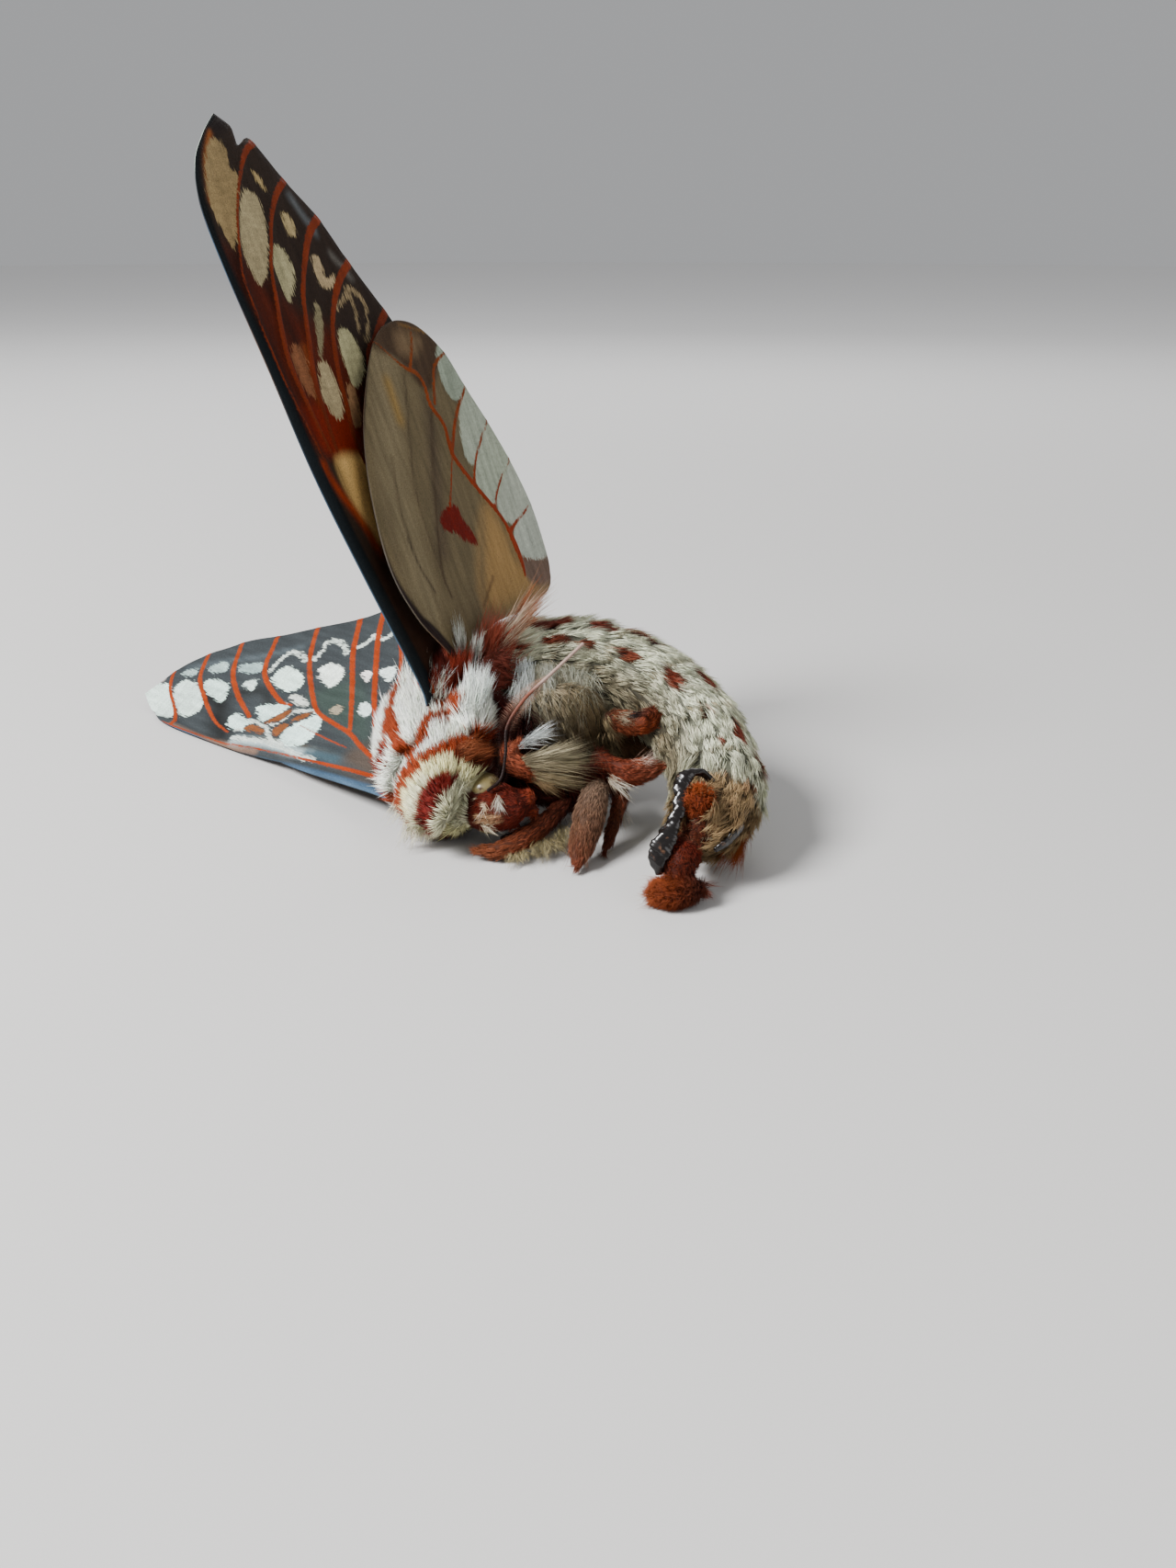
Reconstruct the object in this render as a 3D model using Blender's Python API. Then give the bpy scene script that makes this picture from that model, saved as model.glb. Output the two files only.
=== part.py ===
"""Citheronia brissotii, a male royal moth, life size and lying on its right side as in the photo.

Metres, +Z up, the floor is z = 0. The camera of the photo stands on the -Y side, and +X is its right.
The sizes below are in millimetres. The moth's own axes are FORE (to the head), LEFT and BACK (dorsal).
"""

import bpy
import bmesh
import numpy as np

MM = 0.001

# Body frame and the thorax
FORE = np.array([0.144, -0.953, -0.265])
LEFT = np.array([0.270, -0.220, 0.937])
BACK = np.cross(FORE, LEFT)
THORAX_CENTRE = np.array([-10.9, 2.0, 7.0])
THORAX_HALF_LENGTH = 6.6
THORAX_HALF_WIDTH = 6.1
THORAX_HALF_DEPTH = 5.9

# Wings: span from the root to the apex, the membrane's thickness and how far a vein stands out of it
SPAN = 50.0
MEMBRANE = 0.5
VEIN_RISE = 0.22
VEIN_HALF = 0.45
GAP = 0.3

# Abdomen: the middle line of its seven lengths, x, y, z, half width and half depth
ABDOMEN_LINE = [
    (-9.6, 10.4, 9.2, 4.6, 4.6),
    (-7.2, 11.9, 10.3, 4.8, 4.6),
    (-3.3, 12.6, 11.6, 4.8, 4.6),
    (0.9, 12.0, 12.3, 4.7, 4.6),
    (5.3, 10.4, 12.2, 4.6, 4.5),
    (9.3, 7.6, 11.2, 4.6, 4.5),
    (12.5, 3.9, 9.4, 4.6, 4.5),
    (14.5, -0.7, 7.2, 4.6, 4.5),
    (14.8, -5.8, 5.4, 4.6, 4.3),
    (13.7, -9.6, 5.0, 4.0, 3.6),
]
ABDOMEN_LENGTHS = 7
ABDOMEN_GAP = 0.5

# Planform of a forewing, in spans: x along the wing, y from the front edge to the rear one.
# Each line runs from the root to the outer margin. The first is the costa, the last the inner margin.
FOREWING_LINES = [
    [(0.00, -0.012), (0.20, -0.060), (0.38, -0.098), (0.57, -0.112), (0.72, -0.127), (0.83, -0.132),
     (0.90, -0.110), (0.95, -0.064), (0.988, -0.012)],
    [(0.00, 0.000), (0.20, -0.026), (0.40, -0.042), (0.60, -0.058), (0.76, -0.078), (0.87, -0.078),
     (0.92, -0.040), (0.975, 0.018)],
    [(0.00, 0.010), (0.20, -0.006), (0.42, -0.016), (0.62, -0.036), (0.76, -0.050), (0.873, -0.016),
     (0.913, 0.026), (0.950, 0.074)],
    [(0.00, 0.020), (0.20, 0.014), (0.42, 0.008), (0.60, -0.004), (0.72, -0.004), (0.80, 0.030),
     (0.857, 0.082), (0.888, 0.133)],
    [(0.00, 0.030), (0.20, 0.034), (0.40, 0.034), (0.56, 0.032), (0.66, 0.056), (0.73, 0.092),
     (0.787, 0.144), (0.827, 0.200)],
    [(0.00, 0.040), (0.20, 0.058), (0.36, 0.072), (0.50, 0.096), (0.595, 0.118), (0.66, 0.150),
     (0.713, 0.197), (0.749, 0.253)],
    [(0.00, 0.050), (0.20, 0.084), (0.32, 0.112), (0.44, 0.140), (0.52, 0.180), (0.58, 0.228),
     (0.625, 0.275), (0.660, 0.322)],
    [(0.00, 0.060), (0.17, 0.106), (0.27, 0.140), (0.36, 0.190), (0.43, 0.245), (0.49, 0.300),
     (0.535, 0.345), (0.573, 0.384)],
    [(0.00, 0.070), (0.14, 0.134), (0.23, 0.185), (0.31, 0.240), (0.38, 0.300), (0.44, 0.355),
     (0.49, 0.400), (0.525, 0.434)],
    [(0.00, 0.082), (0.12, 0.160), (0.19, 0.220), (0.26, 0.282), (0.33, 0.345), (0.39, 0.398),
     (0.44, 0.438), (0.480, 0.460)],
]
FOREWING_VEINS = (1, 2, 3, 4, 5, 6, 7, 8)

HINDWING_LINES = [
    [(0.015, 0.074), (0.100, 0.010), (0.200, -0.022), (0.328, 0.000), (0.440, 0.050), (0.530, 0.122),
     (0.590, 0.185), (0.618, 0.235)],
    [(0.016, 0.084), (0.110, 0.050), (0.220, 0.045), (0.340, 0.075), (0.440, 0.125), (0.530, 0.190),
     (0.590, 0.245), (0.628, 0.300)],
    [(0.016, 0.094), (0.120, 0.092), (0.230, 0.115), (0.340, 0.155), (0.440, 0.215), (0.520, 0.275),
     (0.575, 0.325), (0.613, 0.371)],
    [(0.016, 0.104), (0.125, 0.130), (0.220, 0.175), (0.310, 0.230), (0.400, 0.290), (0.471, 0.345),
     (0.520, 0.395), (0.560, 0.440)],
    [(0.016, 0.114), (0.120, 0.165), (0.200, 0.222), (0.280, 0.285), (0.355, 0.345), (0.415, 0.395),
     (0.455, 0.440), (0.488, 0.480)],
    [(0.016, 0.124), (0.110, 0.195), (0.180, 0.262), (0.245, 0.330), (0.305, 0.395), (0.355, 0.448),
     (0.390, 0.490), (0.415, 0.523)],
    [(0.016, 0.134), (0.098, 0.222), (0.150, 0.298), (0.200, 0.372), (0.245, 0.438), (0.282, 0.495),
     (0.306, 0.535), (0.325, 0.566)],
    [(0.016, 0.144), (0.080, 0.245), (0.115, 0.325), (0.148, 0.400), (0.176, 0.468), (0.198, 0.525),
     (0.213, 0.565), (0.225, 0.594)],
    [(0.016, 0.154), (0.052, 0.260), (0.066, 0.345), (0.080, 0.420), (0.092, 0.485), (0.102, 0.535),
     (0.110, 0.570), (0.118, 0.590)],
    [(0.016, 0.164), (0.034, 0.270), (0.034, 0.350), (0.034, 0.420), (0.038, 0.480), (0.044, 0.525),
     (0.054, 0.555), (0.070, 0.572)],
]
HINDWING_VEINS = (1, 2, 3, 4, 5, 6, 7, 8)


def unit(vector):
    vector = np.asarray(vector, float)
    return vector / np.linalg.norm(vector)


def clear_scene():
    for thing in list(bpy.data.objects):
        bpy.data.objects.remove(thing, do_unlink=True)


def material(name, colour, roughness):
    made = bpy.data.materials.new(name)
    made.use_nodes = True
    shader = made.node_tree.nodes["Principled BSDF"]
    shader.inputs["Base Color"].default_value = (*colour, 1.0)
    shader.inputs["Roughness"].default_value = roughness
    return made


def add(name, points, faces, colour, roughness=0.8):
    """An object from points in millimetres and a list of faces."""
    mesh = bpy.data.meshes.new(name)
    mesh.from_pydata((np.asarray(points, float) * MM).tolist(), [], faces)
    mesh.validate()
    obj = bpy.data.objects.new(name, mesh)
    bpy.context.scene.collection.objects.link(obj)
    mesh.materials.append(material(name, colour, roughness))
    work = bmesh.new()
    work.from_mesh(mesh)
    bmesh.ops.recalc_face_normals(work, faces=work.faces)
    bmesh.ops.triangulate(work, faces=work.faces)
    work.to_mesh(mesh)
    work.free()
    return obj


def smooth_line(stations, count):
    """The stations resampled to count rows by a Catmull-Rom spline, evenly by their order."""
    rows = np.asarray(stations, float)
    rows = np.vstack([2 * rows[0] - rows[1], rows, 2 * rows[-1] - rows[-2]])
    at = np.linspace(0, len(rows) - 3, count)
    first = np.minimum(at.astype(int), len(rows) - 4)
    t = (at - first)[:, None]
    a, b, c, d = (rows[first + k] for k in range(4))
    return 0.5 * (2 * b + (c - a) * t + (2 * a - 5 * b + 4 * c - d) * t**2 + (3 * b - a - 3 * c + d) * t**3)


def rings_of(stations, side, sides):
    """Elliptic rings square to the line through the stations: x, y, z, half size along side, other half size."""
    stations = np.asarray(stations, float)
    along = np.gradient(stations[:, :3], axis=0)
    turn = np.linspace(0, 2 * np.pi, sides, endpoint=False)
    rings = []
    for row, direction in zip(stations, along):
        direction = unit(direction)
        across = unit(np.asarray(side) - np.dot(side, direction) * direction)
        other = np.cross(direction, across)
        rings.append(row[:3] + np.outer(np.cos(turn) * row[3], across) + np.outer(np.sin(turn) * row[4], other))
    return np.array(rings)


def skin_rings(name, rings, colour, roughness=0.8):
    """A closed solid through rings of equal length, each end closed by a fan about its middle."""
    count, sides = rings.shape[:2]
    points = np.vstack([rings.reshape(-1, 3), rings[0].mean(axis=0), rings[-1].mean(axis=0)])
    faces = []
    for row in range(count - 1):
        for k in range(sides):
            a, b = row * sides + k, row * sides + (k + 1) % sides
            faces.append((a, b, b + sides, a + sides))
    last = (count - 1) * sides
    for k in range(sides):
        faces.append((count * sides, (k + 1) % sides, k))
        faces.append((count * sides + 1, last + k, last + (k + 1) % sides))
    return add(name, points, faces, colour, roughness)


def loft(name, stations, side, colour, sides=16, rows=8, roughness=0.8):
    return skin_rings(name, rings_of(smooth_line(stations, rows), side, sides), colour, roughness)


def lock(name, base, tip, width, depth, side, colour, bend=(0, 0, 0)):
    """A tuft: widest a third of the way, tapered to its tip."""
    base, tip, bend = (np.asarray(v, float) for v in (base, tip, bend))
    shape = [(0.0, 0.70), (0.15, 0.92), (0.35, 1.0), (0.6, 0.82), (0.82, 0.5), (0.95, 0.22), (1.0, 0.06)]
    rows = [(*(base + (tip - base) * t + bend * 4 * t * (1 - t)), width * w, depth * w) for t, w in shape]
    return skin_rings(name, rings_of(rows, side, 8), colour)


def largest_only(obj):
    """Keeps the object's largest closed surface."""
    work = bmesh.new()
    work.from_mesh(obj.data)
    left, groups = set(work.verts), []
    while left:
        stack, group = [left.pop()], set()
        while stack:
            vert = stack.pop()
            group.add(vert)
            for edge in vert.link_edges:
                other = edge.other_vert(vert)
                if other in left:
                    left.discard(other)
                    stack.append(other)
        groups.append(group)
    groups.sort(key=len)
    for group in groups[:-1]:
        bmesh.ops.delete(work, geom=list(group), context="VERTS")
    work.to_mesh(obj.data)
    work.free()


def apply_all(obj):
    graph = bpy.context.evaluated_depsgraph_get()
    made = bpy.data.meshes.new_from_object(obj.evaluated_get(graph))
    obj.modifiers.clear()
    obj.data = made


def fuse(obj, parts, solver="EXACT"):
    """One closed body of the object and its parts, by one Boolean union on a collection."""
    helper = bpy.data.collections.new(obj.name + "_parts")
    bpy.context.scene.collection.children.link(helper)
    for part in parts:
        for owner in list(part.users_collection):
            owner.objects.unlink(part)
        helper.objects.link(part)
    join = obj.modifiers.new("union", "BOOLEAN")
    join.operand_type = "COLLECTION"
    join.operation = "UNION"
    join.solver = solver
    join.collection = helper
    apply_all(obj)
    for part in parts:
        bpy.data.objects.remove(part, do_unlink=True)
    bpy.data.collections.remove(helper)
    largest_only(obj)
    return obj


def volume(mesh):
    work = bmesh.new()
    work.from_mesh(mesh)
    amount = work.calc_volume(signed=True)
    work.free()
    return amount


def trim(obj, *others, gap=GAP):
    """Cuts the object back from each of the others, leaving the gap between them.

    The exact solver can lose a body whose cutter is very thin at a tuft's tip, and the manifold one then serves."""
    for other in others:
        cutter = other.copy()
        cutter.data = other.data.copy()
        cutter.name = "cutter"
        bpy.context.scene.collection.objects.link(cutter)
        work = bmesh.new()
        work.from_mesh(cutter.data)
        work.normal_update()
        moves = [(v, v.normal.copy()) for v in work.verts]
        for vert, normal in moves:
            vert.co += normal * gap * MM
        work.to_mesh(cutter.data)
        work.free()
        whole, before = obj.data, volume(obj.data)
        for solver in ("EXACT", "MANIFOLD"):
            obj.data = whole
            cut = obj.modifiers.new("clear", "BOOLEAN")
            cut.operation = "DIFFERENCE"
            cut.solver = solver
            cut.object = cutter
            apply_all(obj)
            if 0.3 * before < volume(obj.data) < 1.001 * before:
                break
        bpy.data.objects.remove(cutter, do_unlink=True)
    largest_only(obj)
    return obj


def to_floor(obj, below=0.0):
    """Flattens what lies below the floor onto it."""
    for vert in obj.data.vertices:
        vert.co.z = max(vert.co.z, below * MM)
    return obj


def thorax_point(fore, left, back):
    """A point in the thorax's own axes. The middle line bends to the belly at both ends."""
    bend = 0.05 * max(0.0, fore) ** 2 + 0.06 * max(0.0, -fore - 3.0) ** 2
    return THORAX_CENTRE + FORE * fore + LEFT * left + BACK * (back - bend)


# Wings


def wing_place(root, span, chord, bend, lift=0.0):
    """The function that takes a planform point to space: a plane, bent by three shares of the span."""
    span = unit(span)
    chord = unit(np.asarray(chord) - np.dot(chord, span) * span)
    normal = np.cross(span, chord)

    def place(x, y):
        height = SPAN * (bend[0] * x * x + bend[1] * x * y + bend[2] * y * y) + lift
        return root + SPAN * (np.multiply.outer(x, span) + np.multiply.outer(y, chord)) + np.multiply.outer(height, normal)

    return place


def wing(name, lines, veins, place, colour, rows, squeeze=0.0, edge=0.8):
    """A membrane with its veins raised on both faces and a thicker front edge.

    Each line gives a column of points, and each vein two more at its flanks."""
    curves = np.array([smooth_line(line, rows) for line in lines])
    columns, heights = [], []
    for index, curve in enumerate(curves):
        if index in veins:
            before = curves[index - 1] - curve
            after = curves[index + 1] - curve
            reach = VEIN_HALF / SPAN
            for toward in (before, None, after):
                if toward is None:
                    columns.append(curve)
                    heights.append(np.full(rows, VEIN_RISE))
                    continue
                distance = np.linalg.norm(toward, axis=1)[:, None]
                share = np.minimum(reach / np.maximum(distance, 1e-6), 0.3)
                columns.append(curve + toward * share)
                heights.append(np.zeros(rows))
        else:
            columns.append(curve)
            heights.append(np.full(rows, edge * 0.5 - MEMBRANE * 0.5 if index == 0 else 0.0))
    flat = np.array(columns)
    rise = np.array(heights)
    rise[:, -1] = 0.0
    if squeeze:
        front, rear = flat[0, :, 1], flat[-1, :, 1]
        share = (flat[:, :, 1] - front) / (rear - front)
        flat = flat.copy()
        fade = np.clip(flat[:, :, 0] / 0.4, 0, 1) ** 0.8 * np.clip((1.0 - flat[:, :, 0]) / 0.1, 0, 1) ** 0.7
        flat[:, :, 1] += squeeze * fade * (1 - share) ** 1.3
    middle = place(flat[:, :, 0], flat[:, :, 1])
    along = np.gradient(middle, axis=1)
    across = np.gradient(middle, axis=0)
    normal = np.cross(along, across)
    normal /= np.linalg.norm(normal, axis=2)[:, :, None]
    half = (MEMBRANE * 0.5 + rise)[:, :, None]
    upper, lower = middle + normal * half, middle - normal * half
    count, length = flat.shape[:2]
    number = np.arange(count * length).reshape(count, length)
    faces = []
    for i in range(count - 1):
        for j in range(length - 1):
            a, b, c, d = number[i, j], number[i + 1, j], number[i + 1, j + 1], number[i, j + 1]
            for face in ((a, b, c), (a, c, d)):
                faces.append(face)
                faces.append(tuple(int(k) + count * length for k in reversed(face)))
    rim = [*number[:, 0], *number[-1, 1:], *number[-2::-1, -1], *number[0, -2:0:-1]]
    for a, b in zip(rim, rim[1:] + rim[:1]):
        faces.append((b, a, a + count * length))
        faces.append((b, a + count * length, b + count * length))
    points = np.vstack([upper.reshape(-1, 3), lower.reshape(-1, 3)])
    return add(name, points, [tuple(int(k) for k in face) for face in faces], colour, 0.55)


clear_scene()

left_root = np.array([-11.56, 0.10, 14.59])
left_place = wing_place(left_root, (-0.3177, 0.1682, 0.9331), (0.3742, 0.9265, -0.0396), (-0.003, 0.006, -0.003))
left_under = wing_place(
    left_root, (-0.3177, 0.1682, 0.9331), (0.3742, 0.9265, -0.0396), (-0.003, 0.006, -0.003), lift=-1.6
)
right_place = wing_place(
    (-14.36, -0.57, 3.15), (-0.6566, 0.7447, -0.1193), (0.6072, 0.6159, 0.502), (-0.088, -0.057, 0.049)
)
right_under = wing_place((-14.6, 2.6, 3.9), (-0.440, 0.930, -0.070), (0.808, 0.526, -0.100), (0.0, 0.0, 0.0), lift=0.25)

forewing_left = wing("forewing_left", FOREWING_LINES, FOREWING_VEINS, left_place, (0.32, 0.16, 0.09), 14)
hindwing_left = wing("hindwing_left", HINDWING_LINES, HINDWING_VEINS, left_under, (0.62, 0.56, 0.42), 11, edge=0.7)
forewing_right = wing(
    "forewing_right", FOREWING_LINES, FOREWING_VEINS, right_place, (0.22, 0.25, 0.27), 14, squeeze=0.09
)
hindwing_right = wing("hindwing_right", HINDWING_LINES, HINDWING_VEINS, right_under, (0.62, 0.56, 0.42), 11, edge=0.7)

# Thorax: an oval trunk in a thick coat, cut off in front where the collar meets it
trunk_rows = []
for fore in np.linspace(-THORAX_HALF_LENGTH, 3.6, 12):
    share = min(1.0, max(0.0, (fore + THORAX_HALF_LENGTH) / (2 * THORAX_HALF_LENGTH)))
    round_off = (1 - abs(2 * share - 1) ** 2.6) ** 0.42 if share > 0 else 0.55
    round_off = max(round_off, 0.62)
    trunk_rows.append((*thorax_point(fore, 0, 0), THORAX_HALF_WIDTH * round_off, THORAX_HALF_DEPTH * round_off))
thorax = loft("thorax", trunk_rows, LEFT, (0.72, 0.62, 0.50), 20, 12)
WING_SIDE = (0.3, 0.9, 0.2)
thorax_tufts = [
    loft("mound", [(-11.2, 2.4, 9.0, 2.6, 3.4), (-10.6, 2.6, 11.6, 2.4, 3.2), (-10.2, 2.9, 13.6, 1.8, 2.6),
                   (-10.0, 3.2, 14.7, 0.8, 1.4)], BACK, (0.7, 0.6, 0.5), 12, 7),
    loft("mound", [(-9.4, 5.0, 9.0, 2.6, 3.4), (-8.9, 5.2, 11.8, 2.3, 3.2), (-8.7, 5.4, 14.0, 1.6, 2.6),
                   (-8.7, 5.5, 15.2, 0.8, 1.6)], BACK, (0.7, 0.6, 0.5), 12, 7),
    lock("tuft", (-10.6, -1.4, 9.6), (-5.6, 1.6, 13.9), 2.6, 1.7, FORE, (0.8, 0.8, 0.7), (0.4, -0.9, 0.6)),
    lock("tuft", (-12.6, 4.0, 9.6), (-13.9, 8.4, 13.9), 1.9, 2.4, BACK, (0.8, 0.8, 0.7)),
    lock("tuft", (-8.0, 4.6, 11.2), (-5.2, 8.2, 17.6), 2.2, 1.6, WING_SIDE, (0.6, 0.2, 0.1)),
    lock("tuft", (-7.6, 6.2, 12.4), (-3.4, 9.0, 16.6), 1.9, 1.5, WING_SIDE, (0.6, 0.2, 0.1)),
    lock("tuft", (-5.9, 7.0, 14.6), (-0.4, 11.0, 19.7), 0.9, 0.6, WING_SIDE, (0.8, 0.7, 0.5)),
    lock("tuft", (-8.6, 3.0, 13.6), (-8.3, 4.0, 18.0), 0.8, 0.6, WING_SIDE, (0.8, 0.8, 0.8)),
]
thorax = fuse(thorax, thorax_tufts)

collar = loft(
    "collar",
    [(*thorax_point(fore, 0, 0), width, depth) for fore, width, depth in
     ((3.95, 6.3, 6.1), (4.8, 6.1, 5.9), (5.9, 5.5, 5.3), (7.0, 4.6, 4.4), (7.9, 3.5, 3.3))],
    LEFT, (0.74, 0.62, 0.40), 20, 7,
)
collar_tufts = [
    lock("tuft", (-9.4, -4.4, 7.6), (-4.9, -4.0, 10.1), 1.8, 1.4, FORE, (0.6, 0.3, 0.2), (0.2, -0.8, 0.6)),
    lock("tuft", (-12.2, -2.6, 5.2), (-14.6, -5.0, 0.2), 3.0, 2.2, (1.0, -0.6, 0.0), (0.8, 0.7, 0.5)),
    lock("tuft", (-10.0, -4.4, 4.4), (-10.6, -7.0, -0.2), 3.2, 2.0, (1.0, 0.1, 0.0), (0.8, 0.7, 0.5)),
]
collar = fuse(collar, collar_tufts)

# Head: tucked to the belly, its crown to the camera and its face to the right
HEAD_CENTRE = np.array([-5.0, -5.0, 4.3])
HEAD_FORE = unit((0.96, -0.27, 0.06))
HEAD_LEFT = unit(LEFT - np.dot(LEFT, HEAD_FORE) * HEAD_FORE)
HEAD_CROWN = np.cross(HEAD_FORE, HEAD_LEFT)


def head_point(fore, left, crown):
    return HEAD_CENTRE + HEAD_FORE * fore + HEAD_LEFT * left + HEAD_CROWN * crown


head = loft(
    "head",
    [(*head_point(fore, 0, crown), width, depth) for fore, crown, width, depth in
     ((-2.4, 0.1, 1.5, 1.6), (-1.8, 0.05, 2.1, 2.2), (-0.6, 0.0, 2.6, 2.6), (0.8, 0.0, 2.5, 2.5),
      (2.0, -0.1, 1.9, 2.1), (2.8, -0.2, 1.2, 1.5), (3.2, -0.3, 0.5, 0.7))],
    HEAD_LEFT, (0.42, 0.14, 0.07), 16, 11,
)
palps = [
    lock("palp", head_point(2.0, 0.6 * s, -1.0), head_point(4.0, 0.55 * s, -0.7), 0.6, 0.7, HEAD_LEFT, (0.5, 0.2, 0.1))
    for s in (1, -1)
]
head = fuse(head, palps)


def ball(name, centre, radius, colour, roughness, squash=1.0, axis=None):
    bpy.ops.mesh.primitive_uv_sphere_add(segments=12, ring_count=8, radius=radius * MM)
    obj = bpy.context.object
    obj.name = name
    obj.data.name = name
    points = np.array([v.co[:] for v in obj.data.vertices])
    if axis is not None:
        axis = unit(axis)
        points -= np.outer(points @ axis, axis) * (1 - squash)
    points += np.asarray(centre) * MM
    for vert, point in zip(obj.data.vertices, points):
        vert.co = point
    obj.data.materials.append(material(name, colour, roughness))
    return obj


eye_left = ball("eye_left", head_point(-0.7, 1.95, -0.45), 1.45, (0.55, 0.50, 0.30), 0.3, 0.62, HEAD_LEFT)
eye_right = ball("eye_right", head_point(-0.7, -1.95, -0.45), 1.45, (0.55, 0.50, 0.30), 0.3, 0.62, HEAD_LEFT)
trim(head, eye_left, eye_right, gap=0.15)

# Abdomen: seven lengths end to end, each a little fuller at its rear edge
line = smooth_line(ABDOMEN_LINE, 200)
steps = np.concatenate([[0], np.cumsum(np.linalg.norm(np.diff(line[:, :3], axis=0), axis=1))])
length = steps[-1] / ABDOMEN_LENGTHS
abdomen = []
for number in range(ABDOMEN_LENGTHS):
    start, end = number * length + ABDOMEN_GAP / 2, (number + 1) * length - ABDOMEN_GAP / 2
    rows = []
    for t, full in ((0, 0.93), (0.12, 0.965), (0.45, 0.985), (0.8, 1.02), (0.94, 1.01), (1, 0.95)):
        here = start + (end - start) * t
        row = [np.interp(here, steps, line[:, k]) for k in range(5)]
        rows.append((*row[:3], row[3] * full, row[4] * full))
    abdomen.append(skin_rings(f"abdomen_{number + 1}", rings_of(rows, LEFT, 20), (0.72, 0.68, 0.52)))

# Belly of the thorax: the coxae under long pale hair, from which all the legs come
belly = loft(
    "belly",
    [(-5.6, 4.0, 6.0, 2.8, 2.4), (-3.6, 4.2, 6.6, 3.4, 2.6), (-0.9, 4.0, 7.9, 5.2, 3.1), (2.0, 4.0, 8.5, 5.4, 3.2),
     (3.8, 4.0, 8.4, 3.9, 2.4), (4.7, 4.0, 8.2, 1.8, 1.2)],
    LEFT, (0.55, 0.48, 0.38), 16, 11,
)
belly = fuse(belly, [lock("tuft", (0.4, 3.4, 10.6), (0.0, 5.3, 16.0), 1.9, 1.2, (1, 0, 0), (0.7, 0.68, 0.6))])


def leg(name, rows, side, colour, extra=()):
    made = loft(name, rows, side, colour, 10, 2 * len(rows) - 1)
    return fuse(made, [lock(f"{name}_{k}", *one, colour) for k, one in enumerate(extra)]) if extra else made


VIEW_UP = (0.0, 0.383, 0.924)
foreleg_left = leg(
    "foreleg_left",
    [(3.6, 1.0, 5.0, 0.9, 0.9), (1.0, -0.8, 5.2, 1.1, 1.0), (-2.2, -2.2, 6.8, 1.3, 1.1), (-3.6, -2.2, 7.9, 1.2, 1.0),
     (-3.0, -1.9, 8.8, 0.8, 0.8)],
    VIEW_UP, (0.55, 0.22, 0.1),
    [((-2.2, -1.9, 7.6), (3.9, -1.2, 7.2), 2.0, 1.2, VIEW_UP), ((-2.6, -1.7, 8.2), (0.9, -1.2, 9.5), 1.2, 0.9, VIEW_UP)],
)
midleg_left = leg(
    "midleg_left",
    [(4.3, 1.4, 6.6, 1.0, 1.0), (5.6, -0.6, 6.4, 1.2, 1.1), (7.2, -1.6, 6.2, 1.5, 1.2), (9.0, -1.8, 6.6, 1.3, 1.0),
     (10.2, -1.9, 6.9, 0.5, 0.5)],
    VIEW_UP, (0.6, 0.2, 0.08),
    [((5.2, -0.8, 5.8), (8.0, -2.4, 4.6), 0.9, 0.7, VIEW_UP)],
)
hindleg_left = leg(
    "hindleg_left",
    [(4.6, 3.2, 9.6, 1.0, 0.9), (6.2, 2.0, 9.9, 1.3, 1.1), (8.0, 1.4, 9.8, 1.3, 1.1), (9.3, 0.8, 10.6, 1.1, 1.0),
     (9.1, 0.2, 11.3, 0.8, 0.7), (7.7, -0.4, 11.2, 0.4, 0.4)],
    VIEW_UP, (0.6, 0.25, 0.1),
)
foreleg_right = leg(
    "foreleg_right",
    [(2.6, 0.4, 3.3, 1.0, 1.0), (0.8, -3.4, 3.2, 1.3, 1.1), (-1.5, -6.0, 2.1, 1.5, 1.1), (-4.0, -7.3, 1.1, 1.3, 1.1),
     (-6.2, -7.3, 0.9, 0.8, 0.8)],
    VIEW_UP, (0.55, 0.24, 0.1),
)
midleg_right = leg(
    "midleg_right",
    [(4.4, 0.4, 4.0, 1.0, 1.0), (4.2, -2.6, 4.8, 1.4, 1.2), (3.6, -5.4, 3.6, 1.7, 1.4), (2.9, -8.0, 1.8, 1.4, 1.2),
     (2.5, -9.8, 0.5, 0.7, 0.6)],
    (1, 0, 0), (0.5, 0.26, 0.2),
)
hindleg_right = leg(
    "hindleg_right",
    [(5.9, 1.6, 4.6, 0.8, 0.8), (6.4, -1.2, 3.8, 0.9, 0.9), (6.0, -3.6, 2.8, 0.8, 0.8), (5.3, -5.7, 1.4, 0.7, 0.7),
     (4.9, -6.8, 0.6, 0.4, 0.4)],
    (1, 0, 0), (0.5, 0.22, 0.14),
)


# Antennae: two rows of fine branches on a curved shaft, and a bare thread at the end


def antenna(name, points, normal, colour, branches=13, reach=1.15, bare=0.66):
    shaft_rows = [(*p, r, r) for p, r in zip(points, (0.45, 0.38, 0.34, 0.32, 0.30, 0.27, 0.25))]
    shaft = loft(name, shaft_rows, normal, colour, 6, 16)
    fine = smooth_line(shaft_rows, 101)[:, :3]
    teeth = []
    for k in range(branches):
        share = 0.08 + (bare - 0.08) * k / (branches - 1)
        here = fine[int(share * 100)]
        ahead = unit(fine[int(share * 100) + 1] - here)
        out = unit(np.cross(ahead, normal))
        size = reach * np.sin(np.pi * (0.22 + 0.7 * k / (branches - 1))) ** 0.6
        for hand in (-1, 1):
            tip = here + (out * hand + ahead * 0.75) * size
            row = [(*here, 0.26, 0.22), (*tip, 0.1, 0.1)]
            teeth.append(skin_rings("branch", rings_of(row, normal, 4), colour))
    return fuse(shaft, teeth)


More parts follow.
